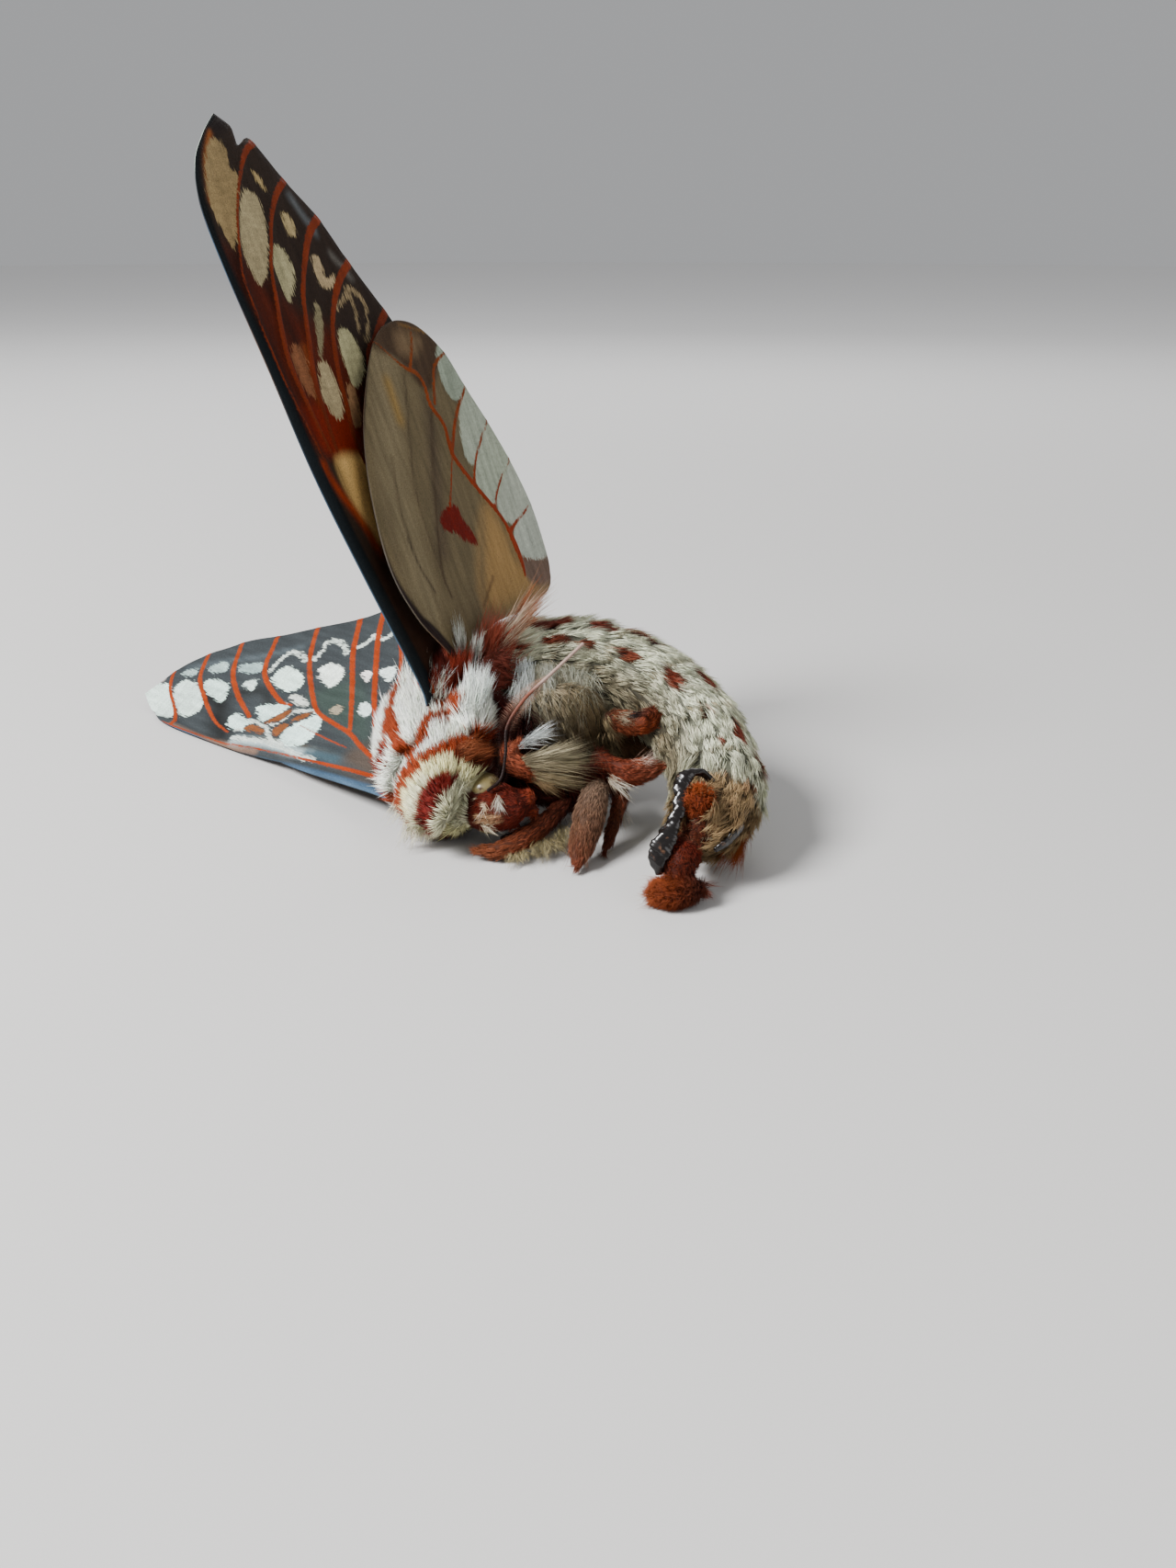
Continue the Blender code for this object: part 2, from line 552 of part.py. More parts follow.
antenna_left = antenna(
    "antenna_left",
    [(-5.1, -6.5, 6.2), (-4.1, -5.7, 7.8), (-4.0, -4.1, 9.3), (-3.0, -2.6, 11.2), (-1.8, -1.4, 12.8), (0.2, -0.1, 14.9),
     (3.0, 1.5, 17.4)],
    (0.1, -0.9, 0.4), (0.36, 0.12, 0.10),
)
antenna_right = antenna(
    "antenna_right",
    [(-4.4, -4.6, 1.0), (-3.4, -3.0, 0.8), (-2.2, -1.4, 0.8), (-0.8, 0.2, 0.8), (0.8, 2.0, 0.8), (2.8, 4.0, 0.8), (5.2, 6.2, 0.8)],
    (0.0, 0.1, 1.0), (0.36, 0.12, 0.10),
)

# Tip of the abdomen: the open claspers of a male, with the parts between them pushed out
TIP_SIDE = (1.0, -0.2, 0.0)
clasper_left = loft(
    "clasper_left",
    [(11.4, -10.4, 9.0, 0.9, 0.5), (11.3, -11.6, 8.0, 1.0, 0.5), (10.8, -13.0, 6.5, 1.0, 0.5),
     (9.8, -14.4, 4.7, 0.9, 0.5), (9.2, -15.2, 3.0, 0.5, 0.35)],
    TIP_SIDE, (0.03, 0.02, 0.02), 10, 9, roughness=0.25,
)
clasper_right = loft(
    "clasper_right",
    [(16.6, -9.8, 5.0, 0.7, 0.4), (16.2, -11.2, 4.8, 1.0, 0.5), (15.4, -12.6, 4.4, 1.0, 0.5), (14.4, -13.6, 4.0, 0.5, 0.4)],
    (0.0, 0.0, 1.0), (0.03, 0.02, 0.02), 10, 7, roughness=0.25,
)
abdomen_tip = loft(
    "abdomen_tip",
    [(13.6, -10.2, 5.0, 3.0, 2.8), (13.2, -11.2, 5.2, 2.8, 2.6), (12.7, -12.2, 5.2, 2.1, 2.2),
     (12.4, -12.9, 5.2, 1.0, 1.2)],
    TIP_SIDE, (0.55, 0.5, 0.4), 14, 7,
)
tip_parts = [
    ball("tuft", (12.8, -11.9, 7.5), 1.5, (0.8, 0.3, 0.05), 0.9),
    loft("tuft", [(12.3, -12.0, 4.6, 0.9, 1.0), (11.6, -13.2, 3.8, 1.6, 1.5), (11.0, -14.4, 2.8, 1.7, 1.5),
                  (10.7, -15.3, 2.0, 1.0, 0.9)], TIP_SIDE, (0.8, 0.25, 0.05), 10, 7),
    loft("tuft", [(13.0, -15.0, 1.7, 0.5, 0.5), (12.2, -15.6, 1.4, 1.1, 1.0), (10.6, -16.0, 1.2, 1.6, 1.4),
                  (9.2, -15.8, 1.2, 1.3, 1.2), (8.6, -15.6, 1.2, 0.5, 0.5)], (0, 1, 0), (0.8, 0.25, 0.05), 10, 9),
]
abdomen_tip = fuse(abdomen_tip, tip_parts)
tip_fringe = loft(
    "tip_fringe",
    [(16.2, -9.9, 2.6, 1.7, 0.7), (16.0, -10.2, 1.6, 1.6, 0.8), (15.6, -10.4, 0.8, 1.4, 0.8), (15.4, -10.5, 0.1, 1.2, 0.7)],
    (1.0, 0.4, 0.0), (0.75, 0.3, 0.06), 10, 5,
)

# Neighbours meet face to face with a small gap
trim(thorax, abdomen[0], abdomen[1])
trim(collar, thorax, eye_left, eye_right)
trim(belly, thorax, collar)
trim(head, collar)
trim(forewing_left, thorax)
trim(hindwing_left, thorax)
trim(forewing_right, thorax, collar)
trim(hindwing_right, thorax)
for one in (foreleg_left, midleg_left, hindleg_left, foreleg_right, midleg_right, hindleg_right):
    trim(one, belly)
trim(foreleg_left, collar)
trim(foreleg_right, foreleg_left, head)
trim(midleg_left, foreleg_left, abdomen[5])
trim(midleg_right, foreleg_left, foreleg_right, midleg_left)
trim(hindleg_left, abdomen[3], abdomen[4])
trim(hindleg_right, midleg_left, midleg_right)
trim(antenna_left, head, eye_left, collar)
trim(antenna_right, head, eye_right, collar)
trim(abdomen_tip, abdomen[-1], clasper_left, clasper_right)
trim(clasper_left, abdomen[-1])
trim(clasper_right, abdomen[-1])
trim(tip_fringe, abdomen[-1], abdomen_tip)

for one in (foreleg_right, midleg_right, hindleg_right, hindwing_right, forewing_right, collar, tip_fringe, abdomen_tip):
    to_floor(one)

# The origin is the middle of the whole moth's box, at floor level
moth = [obj for obj in bpy.data.objects if obj.type == "MESH"]
corners = np.array([vert.co[:] for obj in moth for vert in obj.data.vertices])
middle = 0.5 * (corners.min(axis=0) + corners.max(axis=0))
for obj in moth:
    for vert in obj.data.vertices:
        vert.co.x -= middle[0]
        vert.co.y -= middle[1]
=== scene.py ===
import bpy
import numpy as np
from mathutils import Matrix


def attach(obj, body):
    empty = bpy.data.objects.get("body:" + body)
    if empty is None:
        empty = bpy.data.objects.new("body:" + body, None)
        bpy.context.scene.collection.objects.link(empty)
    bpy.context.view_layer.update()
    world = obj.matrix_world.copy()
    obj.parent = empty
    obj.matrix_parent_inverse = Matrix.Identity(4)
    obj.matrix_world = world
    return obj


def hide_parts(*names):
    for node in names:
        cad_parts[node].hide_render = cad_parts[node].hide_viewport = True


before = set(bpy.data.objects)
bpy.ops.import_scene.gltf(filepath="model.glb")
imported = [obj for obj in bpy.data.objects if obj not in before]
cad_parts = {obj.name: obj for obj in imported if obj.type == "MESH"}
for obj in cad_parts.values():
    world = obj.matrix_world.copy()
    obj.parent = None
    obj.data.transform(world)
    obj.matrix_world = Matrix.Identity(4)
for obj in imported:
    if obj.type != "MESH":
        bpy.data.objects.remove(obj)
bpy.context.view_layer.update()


# Wings: four dry membranes of horn, each a closed thin sheet stiffened by veins that stand up as
# ridges on both faces, and covered in flat scales whose colours follow the veins. Each wing is
# set into the hair at the side of the thorax.
FORE = np.array([0.144, -0.953, -0.265])  # the thorax's way forward, in the photograph's millimetres
LEFT = np.array([0.270, -0.220, 0.937])
BACK = np.cross(FORE, LEFT)
SHIFT = np.array([14.61, -10.22, 0.0])  # from there to the record's middle
SPAN = 50.0  # a forewing's length
COSTAL_CURL = 0.09  # how far the right forewing's front strip is curled under, in spans
RESTING_HEIGHT = 0.28  # a wing's middle sheet stays this far over the floor

# Lines of a wing's plan from its front edge to its rear one, in spans along the wing and behind its axis
FOREWING_LINES = [
    [(0.00, -0.012), (0.20, -0.060), (0.38, -0.098), (0.57, -0.118), (0.72, -0.136), (0.83, -0.139),
     (0.90, -0.113), (0.95, -0.064), (0.988, -0.012)],
    [(0.00, 0.000), (0.20, -0.026), (0.40, -0.042), (0.60, -0.058), (0.76, -0.078), (0.87, -0.078),
     (0.92, -0.040), (0.975, 0.018)],
    [(0.00, 0.010), (0.20, -0.006), (0.42, -0.016), (0.62, -0.036), (0.76, -0.050), (0.873, -0.016),
     (0.913, 0.026), (0.950, 0.074)],
    [(0.00, 0.020), (0.20, 0.014), (0.42, 0.008), (0.60, -0.004), (0.72, -0.004), (0.80, 0.030),
     (0.857, 0.082), (0.888, 0.133)],
    [(0.00, 0.030), (0.20, 0.034), (0.40, 0.034), (0.56, 0.032), (0.66, 0.056), (0.73, 0.092),
     (0.787, 0.144), (0.827, 0.200)],
    [(0.00, 0.040), (0.20, 0.058), (0.36, 0.072), (0.50, 0.096), (0.595, 0.118), (0.66, 0.150),
     (0.713, 0.197), (0.749, 0.253)],
    [(0.00, 0.050), (0.20, 0.084), (0.32, 0.112), (0.44, 0.140), (0.52, 0.180), (0.58, 0.228),
     (0.625, 0.275), (0.660, 0.322)],
    [(0.00, 0.060), (0.17, 0.106), (0.27, 0.140), (0.36, 0.190), (0.43, 0.245), (0.49, 0.300),
     (0.535, 0.345), (0.573, 0.384)],
    [(0.00, 0.070), (0.14, 0.134), (0.23, 0.185), (0.31, 0.240), (0.38, 0.300), (0.44, 0.355),
     (0.49, 0.400), (0.525, 0.434)],
    [(0.00, 0.082), (0.12, 0.160), (0.19, 0.220), (0.26, 0.282), (0.33, 0.345), (0.39, 0.398),
     (0.44, 0.438), (0.480, 0.460)],
]
HINDWING_LINES = [
    [(0.015, 0.074), (0.100, 0.010), (0.200, -0.022), (0.328, 0.000), (0.440, 0.050), (0.530, 0.122),
     (0.590, 0.185), (0.618, 0.235)],
    [(0.016, 0.084), (0.110, 0.050), (0.220, 0.045), (0.340, 0.075), (0.440, 0.125), (0.530, 0.190),
     (0.590, 0.245), (0.628, 0.300)],
    [(0.016, 0.094), (0.120, 0.092), (0.230, 0.115), (0.340, 0.155), (0.440, 0.215), (0.520, 0.275),
     (0.575, 0.325), (0.613, 0.371)],
    [(0.016, 0.104), (0.125, 0.130), (0.220, 0.175), (0.310, 0.230), (0.400, 0.290), (0.471, 0.345),
     (0.520, 0.395), (0.560, 0.440)],
    [(0.016, 0.114), (0.120, 0.165), (0.200, 0.222), (0.280, 0.285), (0.355, 0.345), (0.415, 0.395),
     (0.455, 0.440), (0.488, 0.480)],
    [(0.016, 0.124), (0.110, 0.195), (0.180, 0.262), (0.245, 0.330), (0.305, 0.395), (0.355, 0.448),
     (0.390, 0.490), (0.415, 0.523)],
    [(0.016, 0.134), (0.098, 0.222), (0.150, 0.298), (0.200, 0.372), (0.245, 0.438), (0.282, 0.495),
     (0.306, 0.535), (0.325, 0.566)],
    [(0.016, 0.144), (0.080, 0.245), (0.115, 0.325), (0.148, 0.400), (0.176, 0.468), (0.198, 0.525),
     (0.213, 0.565), (0.225, 0.594)],
    [(0.016, 0.154), (0.052, 0.260), (0.066, 0.345), (0.080, 0.420), (0.092, 0.485), (0.102, 0.535),
     (0.110, 0.570), (0.118, 0.590)],
    [(0.016, 0.164), (0.034, 0.270), (0.034, 0.350), (0.034, 0.420), (0.038, 0.480), (0.044, 0.525),
     (0.054, 0.555), (0.070, 0.572)],
]

# The under face of a forewing. A vein's third number is its half width in millimetres.
FORE_UNDER = {
    "ground": (44, 33, 26),
    "washes": [
        ("patch", [(0.77, -0.128), (0.709, -0.039), (0.671, 0.010), (0.650, 0.034), (0.626, 0.114), (0.603, 0.132),
                   (0.512, 0.156), (0.426, 0.098), (0.447, -0.104), (0.596, -0.110),
                   (0.693, -0.125)], 0, 1.6, (76, 27, 12)),
        ("line", [(0.74, -0.10), (0.66, -0.10), (0.55, -0.09), (0.46, -0.07)], 0.7, 1.2, (40, 18, 12)),
        ("line", [(0.70, -0.035), (0.64, -0.02), (0.58, -0.01), (0.52, 0.0)], 0.5, 1.0, (44, 20, 12)),
        ("line", [(0.60, 0.005), (0.55, -0.005), (0.47, -0.01)], 0.2, 0.6, (122, 60, 28)),
        ("patch", [(0.501, -0.063), (0.498, 0.016), (0.474, 0.066), (0.441, 0.102), (0.400, 0.084), (0.405, 0.004),
                   (0.42, -0.045), (0.466, -0.065)], 0, 1.0, (104, 28, 9)),
        ("patch", [(0.41, 0.09), (0.44, 0.14), (0.36, 0.17), (0.2, 0.11), (0.1, 0.07), (0.2, 0.04), (0.3, 0.05)],
         0, 1.5, (128, 92, 56)),
        ("patch", [(0.405, -0.020), (0.400, 0.066), (0.362, 0.056), (0.291, 0.042), (0.228, 0.037), (0.273, 0.010),
                   (0.324, -0.016)], 0, 0.7, (196, 158, 96)),
        ("line", [(0.40, -0.064), (0.365, -0.052), (0.282, -0.002), (0.20, 0.020), (0.15, 0.036)], 0.35, 0.7,
         (138, 48, 14)),
        # Painted shade: this darker patch at the root stands for the shadow between the front edge and the hindwing.
        ("patch", [(0.21, -0.03), (0.20, 0.06), (0.0, 0.09), (-0.05, 0.0)], 0, 1.2, (42, 26, 18)),
        ("line", [(0.86, 0.13), (0.80, 0.17)], 0.35, 0.6, (92, 96, 98)),
        ("line", [(0.76, 0.20), (0.72, 0.24)], 0.3, 0.6, (96, 92, 86)),
        ("line", [(0.955, -0.045), (0.90, -0.085), (0.84, -0.108)], 0.25, 0.5, (150, 82, 34)),
        ("line", [(0.965, -0.02), (0.975, 0.0)], 0.6, 0.7, (34, 26, 24)),
    ],
    # The front edge: its line, half widths, a dark tone, and a paler tone painted along its middle as a highlight.
    "edge": ([(0.99, -0.010), (0.95, -0.066), (0.90, -0.113), (0.83, -0.139), (0.72, -0.136), (0.57, -0.118),
              (0.38, -0.098), (0.20, -0.060), (0.0, -0.012), (-0.05, -0.005)],
             [0.25, 0.35, 0.5, 0.7, 0.95, 1.25, 1.6, 1.8, 1.9, 1.9], (14, 18, 20), (46, 54, 58)),
    "patches": [
        ([(0.940, -0.054), (0.941, -0.020), (0.900, -0.018), (0.880, -0.013), (0.773, -0.083), (0.769, -0.099),
          (0.804, -0.110), (0.843, -0.113), (0.898, -0.092)], (150, 128, 88)),
        ([(0.864, -0.009), (0.863, 0.015), (0.842, 0.030), (0.792, 0.017), (0.725, -0.025), (0.709, -0.060),
          (0.749, -0.070), (0.789, -0.062), (0.843, -0.027)], (166, 152, 116)),
        ([(0.773, 0.023), (0.766, 0.048), (0.738, 0.061), (0.709, 0.046), (0.675, 0.013), (0.705, 0.005),
          (0.742, 0.003)], (168, 160, 122)),
        ([(0.672, 0.084), (0.665, 0.099), (0.622, 0.083), (0.572, 0.042), (0.606, 0.053)], (132, 122, 92)),
        ([(0.625, 0.138), (0.624, 0.167), (0.592, 0.184), (0.560, 0.180), (0.530, 0.151), (0.523, 0.120),
          (0.568, 0.117), (0.604, 0.120)], (172, 166, 126)),
        ([(0.605, -0.025), (0.596, -0.004), (0.540, -0.006), (0.513, -0.016), (0.528, -0.037), (0.560, -0.043),
          (0.585, -0.042)], (128, 82, 54)),
        ([(0.572, 0.035), (0.562, 0.064), (0.501, 0.064), (0.471, 0.044), (0.482, 0.019), (0.522, 0.009)],
         (168, 152, 116)),
        ([(0.529, 0.099), (0.514, 0.123), (0.457, 0.102), (0.455, 0.075), (0.491, 0.078)], (150, 112, 78)),
        ([(0.898, 0.040), (0.894, 0.052), (0.870, 0.062), (0.868, 0.054), (0.888, 0.041)], (176, 152, 104)),
        ([(0.832, 0.086), (0.824, 0.108), (0.795, 0.108), (0.790, 0.086), (0.811, 0.080)], (176, 156, 112)),
        ([(0.757, 0.131), (0.753, 0.156), (0.718, 0.154), (0.724, 0.187), (0.702, 0.164), (0.702, 0.131),
          (0.730, 0.126)], (182, 160, 122)),
    ],
    "threads": ([[(0.665, 0.156), (0.682, 0.193), (0.700, 0.213), (0.695, 0.236), (0.672, 0.256), (0.636, 0.244),
                  (0.600, 0.220)],
                 [(0.700, 0.213), (0.66, 0.215), (0.62, 0.205)]], 0.24, (150, 130, 96)),
    "veins": [
        [(0.952, 0.082, 0.32), (0.930, 0.039, 0.28), (0.893, 0.002, 0.2), (0.855, -0.029, 0.16), (0.805, -0.061, 0.14),
         (0.753, -0.085, 0.14), (0.701, -0.100, 0.14), (0.55, -0.09, 0.16), (0.4, -0.055, 0.14)],
        [(0.888, 0.128, 0.34), (0.861, 0.086, 0.32), (0.818, 0.044, 0.26), (0.775, 0.017, 0.22), (0.734, -0.009, 0.22),
         (0.684, -0.026, 0.26), (0.627, -0.045, 0.34), (0.56, -0.055, 0.34), (0.42, -0.03, 0.2)],
        [(0.830, 0.204, 0.42), (0.796, 0.148, 0.42), (0.743, 0.099, 0.34), (0.692, 0.061, 0.30), (0.649, 0.042, 0.30),
         (0.590, 0.018, 0.36), (0.530, -0.002, 0.36), (0.42, -0.01, 0.2)],
        [(0.752, 0.262, 0.42), (0.718, 0.200, 0.42), (0.669, 0.146, 0.34), (0.626, 0.114, 0.30), (0.587, 0.096, 0.34),
         (0.539, 0.080, 0.36), (0.490, 0.072, 0.34), (0.437, 0.060, 0.3), (0.34, 0.07, 0.2), (0.2, 0.06, 0.14)],
        [(0.664, 0.338, 0.46), (0.634, 0.289, 0.44), (0.603, 0.245, 0.38), (0.577, 0.205, 0.34), (0.52, 0.175, 0.3),
         (0.44, 0.138, 0.26), (0.32, 0.110, 0.2), (0.2, 0.084, 0.16)],
        [(0.575, 0.386, 0.4), (0.49, 0.300, 0.36), (0.43, 0.245, 0.3), (0.36, 0.190, 0.26), (0.27, 0.140, 0.22),
         (0.17, 0.106, 0.2)],
        [(0.527, 0.436, 0.36), (0.44, 0.355, 0.32), (0.38, 0.300, 0.3), (0.31, 0.240, 0.26), (0.23, 0.185, 0.22),
         (0.14, 0.134, 0.2)],
    ],
    "vein": (118, 46, 20),
    "vein_base": (88, 32, 14),
}

# The upper face of a forewing, measured on the right one.
FORE_UPPER = {
    "ground": (50, 54, 56),
    "washes": [
        ("line", [(0.83, 0.03), (0.76, 0.075), (0.70, 0.03), (0.64, -0.005)], 1.2, 1.3, (30, 31, 31)),
        ("line", [(0.70, 0.11), (0.64, 0.13), (0.58, 0.10)], 0.6, 0.9, (36, 38, 38)),
        ("patch", [(0.50, 0.17), (0.44, 0.13), (0.30, 0.11), (0.20, 0.09), (0.30, 0.18), (0.42, 0.24)], 0, 1.4,
         (50, 60, 56)),
        ("line", [(0.80, -0.045), (0.70, -0.042), (0.60, -0.028), (0.50, -0.010)], 0.45, 0.6, (112, 88, 74)),
        ("line", [(0.587, -0.006), (0.485, 0.016), (0.39, 0.022), (0.343, 0.030)], 0.5, 0.7, (160, 176, 176)),
        ("line", [(0.587, -0.000), (0.485, 0.029), (0.343, 0.045), (0.166, 0.055)], 0.16, 0.35, (62, 56, 48)),
        ("line", [(0.35, 0.03), (0.25, 0.04), (0.12, 0.05)], 0.6, 0.8, (58, 76, 84)),
        ("patch", [(0.22, 0.03), (0.20, 0.10), (0.0, 0.09), (-0.05, 0.0)], 0, 1.2, (66, 58, 52)),
        ("line", [(0.985, -0.01), (1.0, 0.03), (0.975, 0.06)], 0.25, 0.4, (206, 192, 184)),
        ("line", [(0.93, 0.11), (0.83, 0.17), (0.75, 0.21), (0.66, 0.27)], 0.3, 0.8, (70, 78, 82)),
    ],
    # The front edge: its line, half widths, a blue-grey tone, and a paler tone painted along its middle as a
    # reflection.
    "edge": ([(0.985, -0.03), (0.93, -0.06), (0.892, -0.072), (0.82, -0.080), (0.762, -0.082), (0.628, -0.078),
              (0.502, -0.066), (0.372, -0.052), (0.236, -0.040), (0.095, -0.030), (-0.05, -0.02)],
             [0.35, 0.7, 1.1, 1.5, 1.9, 2.0, 2.1, 2.2, 2.2, 2.0, 1.6], (52, 72, 92), (104, 130, 150)),
    "patches": [
        ([(0.980, -0.004), (0.990, 0.027), (0.967, 0.048), (0.927, 0.046), (0.870, 0.015), (0.839, -0.005),
          (0.854, -0.026), (0.897, -0.031), (0.946, -0.024)], (196, 214, 204)),
        ([(0.907, 0.046), (0.906, 0.078), (0.860, 0.081), (0.806, 0.062), (0.781, 0.039), (0.782, 0.014),
          (0.814, 0.000), (0.856, 0.014)], (194, 212, 202)),
        ([(0.837, 0.095), (0.823, 0.110), (0.763, 0.110), (0.733, 0.070), (0.775, 0.072), (0.812, 0.079)],
         (186, 210, 200)),
        ([(0.721, 0.130), (0.715, 0.141), (0.695, 0.148), (0.681, 0.133), (0.681, 0.121), (0.712, 0.127)],
         (196, 214, 206)),
        ([(0.653, 0.167), (0.645, 0.208), (0.581, 0.201), (0.553, 0.178), (0.556, 0.159), (0.600, 0.152)],
         (206, 228, 216)),
        ([(0.545, 0.228), (0.528, 0.251), (0.479, 0.249), (0.457, 0.225), (0.463, 0.198), (0.512, 0.209)],
         (220, 230, 220)),
        ([(0.414, 0.255), (0.387, 0.262), (0.376, 0.238)], (226, 220, 214)),
        ([(0.368, 0.273), (0.344, 0.292), (0.323, 0.279), (0.318, 0.253)], (208, 222, 216)),
        ([(0.329, 0.175), (0.321, 0.186), (0.287, 0.175), (0.282, 0.159), (0.306, 0.158)], (206, 222, 216)),
        ([(0.401, 0.144), (0.393, 0.158), (0.369, 0.153), (0.372, 0.137)], (138, 128, 108)),
        ([(0.934, 0.091), (0.920, 0.109), (0.899, 0.118), (0.894, 0.102)], (152, 172, 168)),
        ([(0.868, 0.133), (0.854, 0.154), (0.828, 0.162), (0.814, 0.141), (0.847, 0.129)], (150, 170, 166)),
        ([(0.785, 0.170), (0.754, 0.183), (0.728, 0.193), (0.706, 0.176), (0.736, 0.161), (0.766, 0.157)],
         (142, 164, 162)),
        ([(0.664, 0.035), (0.655, 0.053), (0.597, 0.047), (0.586, 0.029), (0.614, 0.021), (0.647, 0.022)],
         (196, 220, 212)),
        ([(0.610, 0.082), (0.601, 0.097), (0.529, 0.119), (0.541, 0.079), (0.553, 0.058), (0.569, 0.065)],
         (192, 218, 210)),
        ([(0.442, 0.030), (0.468, 0.048), (0.465, 0.072), (0.421, 0.120), (0.384, 0.096), (0.380, 0.057),
          (0.399, 0.037)], (200, 226, 218)),
        ([(0.545, 0.138), (0.537, 0.150), (0.480, 0.139), (0.491, 0.130)], (196, 200, 190)),
    ],
    "bars": ([[(0.592, 0.028), (0.583, 0.045), (0.536, 0.045), (0.530, 0.034)],
              [(0.553, 0.058), (0.530, 0.094), (0.518, 0.110), (0.505, 0.108), (0.514, 0.075)],
              [(0.504, 0.046), (0.503, 0.067), (0.478, 0.077), (0.476, 0.057), (0.482, 0.038)],
              [(0.478, 0.086), (0.475, 0.105), (0.442, 0.126), (0.454, 0.099)]], (112, 66, 38)),
    "threads": ([[(0.681, 0.184), (0.684, 0.221), (0.673, 0.250), (0.634, 0.249), (0.611, 0.240), (0.589, 0.250)],
                 [(0.586, 0.250), (0.589, 0.275), (0.601, 0.304), (0.576, 0.315), (0.543, 0.308), (0.512, 0.291)],
                 [(0.499, 0.310), (0.485, 0.337), (0.486, 0.356), (0.464, 0.355)],
                 [(0.453, 0.352), (0.442, 0.367), (0.443, 0.387)],
                 [(0.614, 0.021), (0.536, 0.057), (0.508, 0.083), (0.502, 0.109), (0.434, 0.128)],
                 [(0.591, 0.052), (0.531, 0.047), (0.483, 0.026), (0.442, 0.030)],
                 [(0.601, -0.002), (0.502, 0.018), (0.429, 0.020), (0.365, 0.016), (0.312, 0.020)]], 0.30,
                (186, 196, 188)),
    "veins": [
        [(0.971, 0.100, 0.30), (0.924, 0.047, 0.28), (0.848, 0.004, 0.26), (0.815, -0.022, 0.34), (0.80, -0.045, 0.3)],
        [(0.904, 0.156, 0.34), (0.863, 0.099, 0.34), (0.787, 0.056, 0.32), (0.698, 0.018, 0.24), (0.626, 0.005, 0.16)],
        [(0.830, 0.207, 0.36), (0.783, 0.145, 0.38), (0.701, 0.096, 0.36), (0.608, 0.059, 0.28)],
        [(0.745, 0.253, 0.38), (0.706, 0.189, 0.38), (0.656, 0.154, 0.36), (0.562, 0.121, 0.30), (0.518, 0.122, 0.2)],
        [(0.656, 0.316, 0.38), (0.600, 0.246, 0.38), (0.512, 0.178, 0.36), (0.431, 0.129, 0.32), (0.357, 0.115, 0.3),
         (0.278, 0.103, 0.3), (0.201, 0.079, 0.3), (0.08, 0.05, 0.3)],
        [(0.563, 0.379, 0.40), (0.493, 0.296, 0.40), (0.387, 0.201, 0.36), (0.288, 0.111, 0.30)],
        [(0.528, 0.430, 0.40), (0.467, 0.355, 0.40), (0.366, 0.256, 0.38), (0.289, 0.186, 0.36), (0.17, 0.09, 0.3)],
        [(0.47, 0.45, 0.34), (0.426, 0.385, 0.32), (0.347, 0.322, 0.30), (0.2, 0.17, 0.26), (0.08, 0.08, 0.2)],
        [(0.83, -0.050, 0.22), (0.742, -0.042, 0.20), (0.638, -0.028, 0.18), (0.516, -0.007, 0.16),
         (0.379, 0.009, 0.18),
         (0.242, 0.021, 0.26), (0.127, 0.028, 0.3), (0.0, 0.03, 0.3)],
        [(0.416, 0.081, 0.12), (0.337, 0.075, 0.14), (0.253, 0.070, 0.12)],
    ],
    "swell": 0.1,
    "slim": 0.06,
    "vein": (132, 50, 17),
    "vein_base": (132, 47, 15),
}

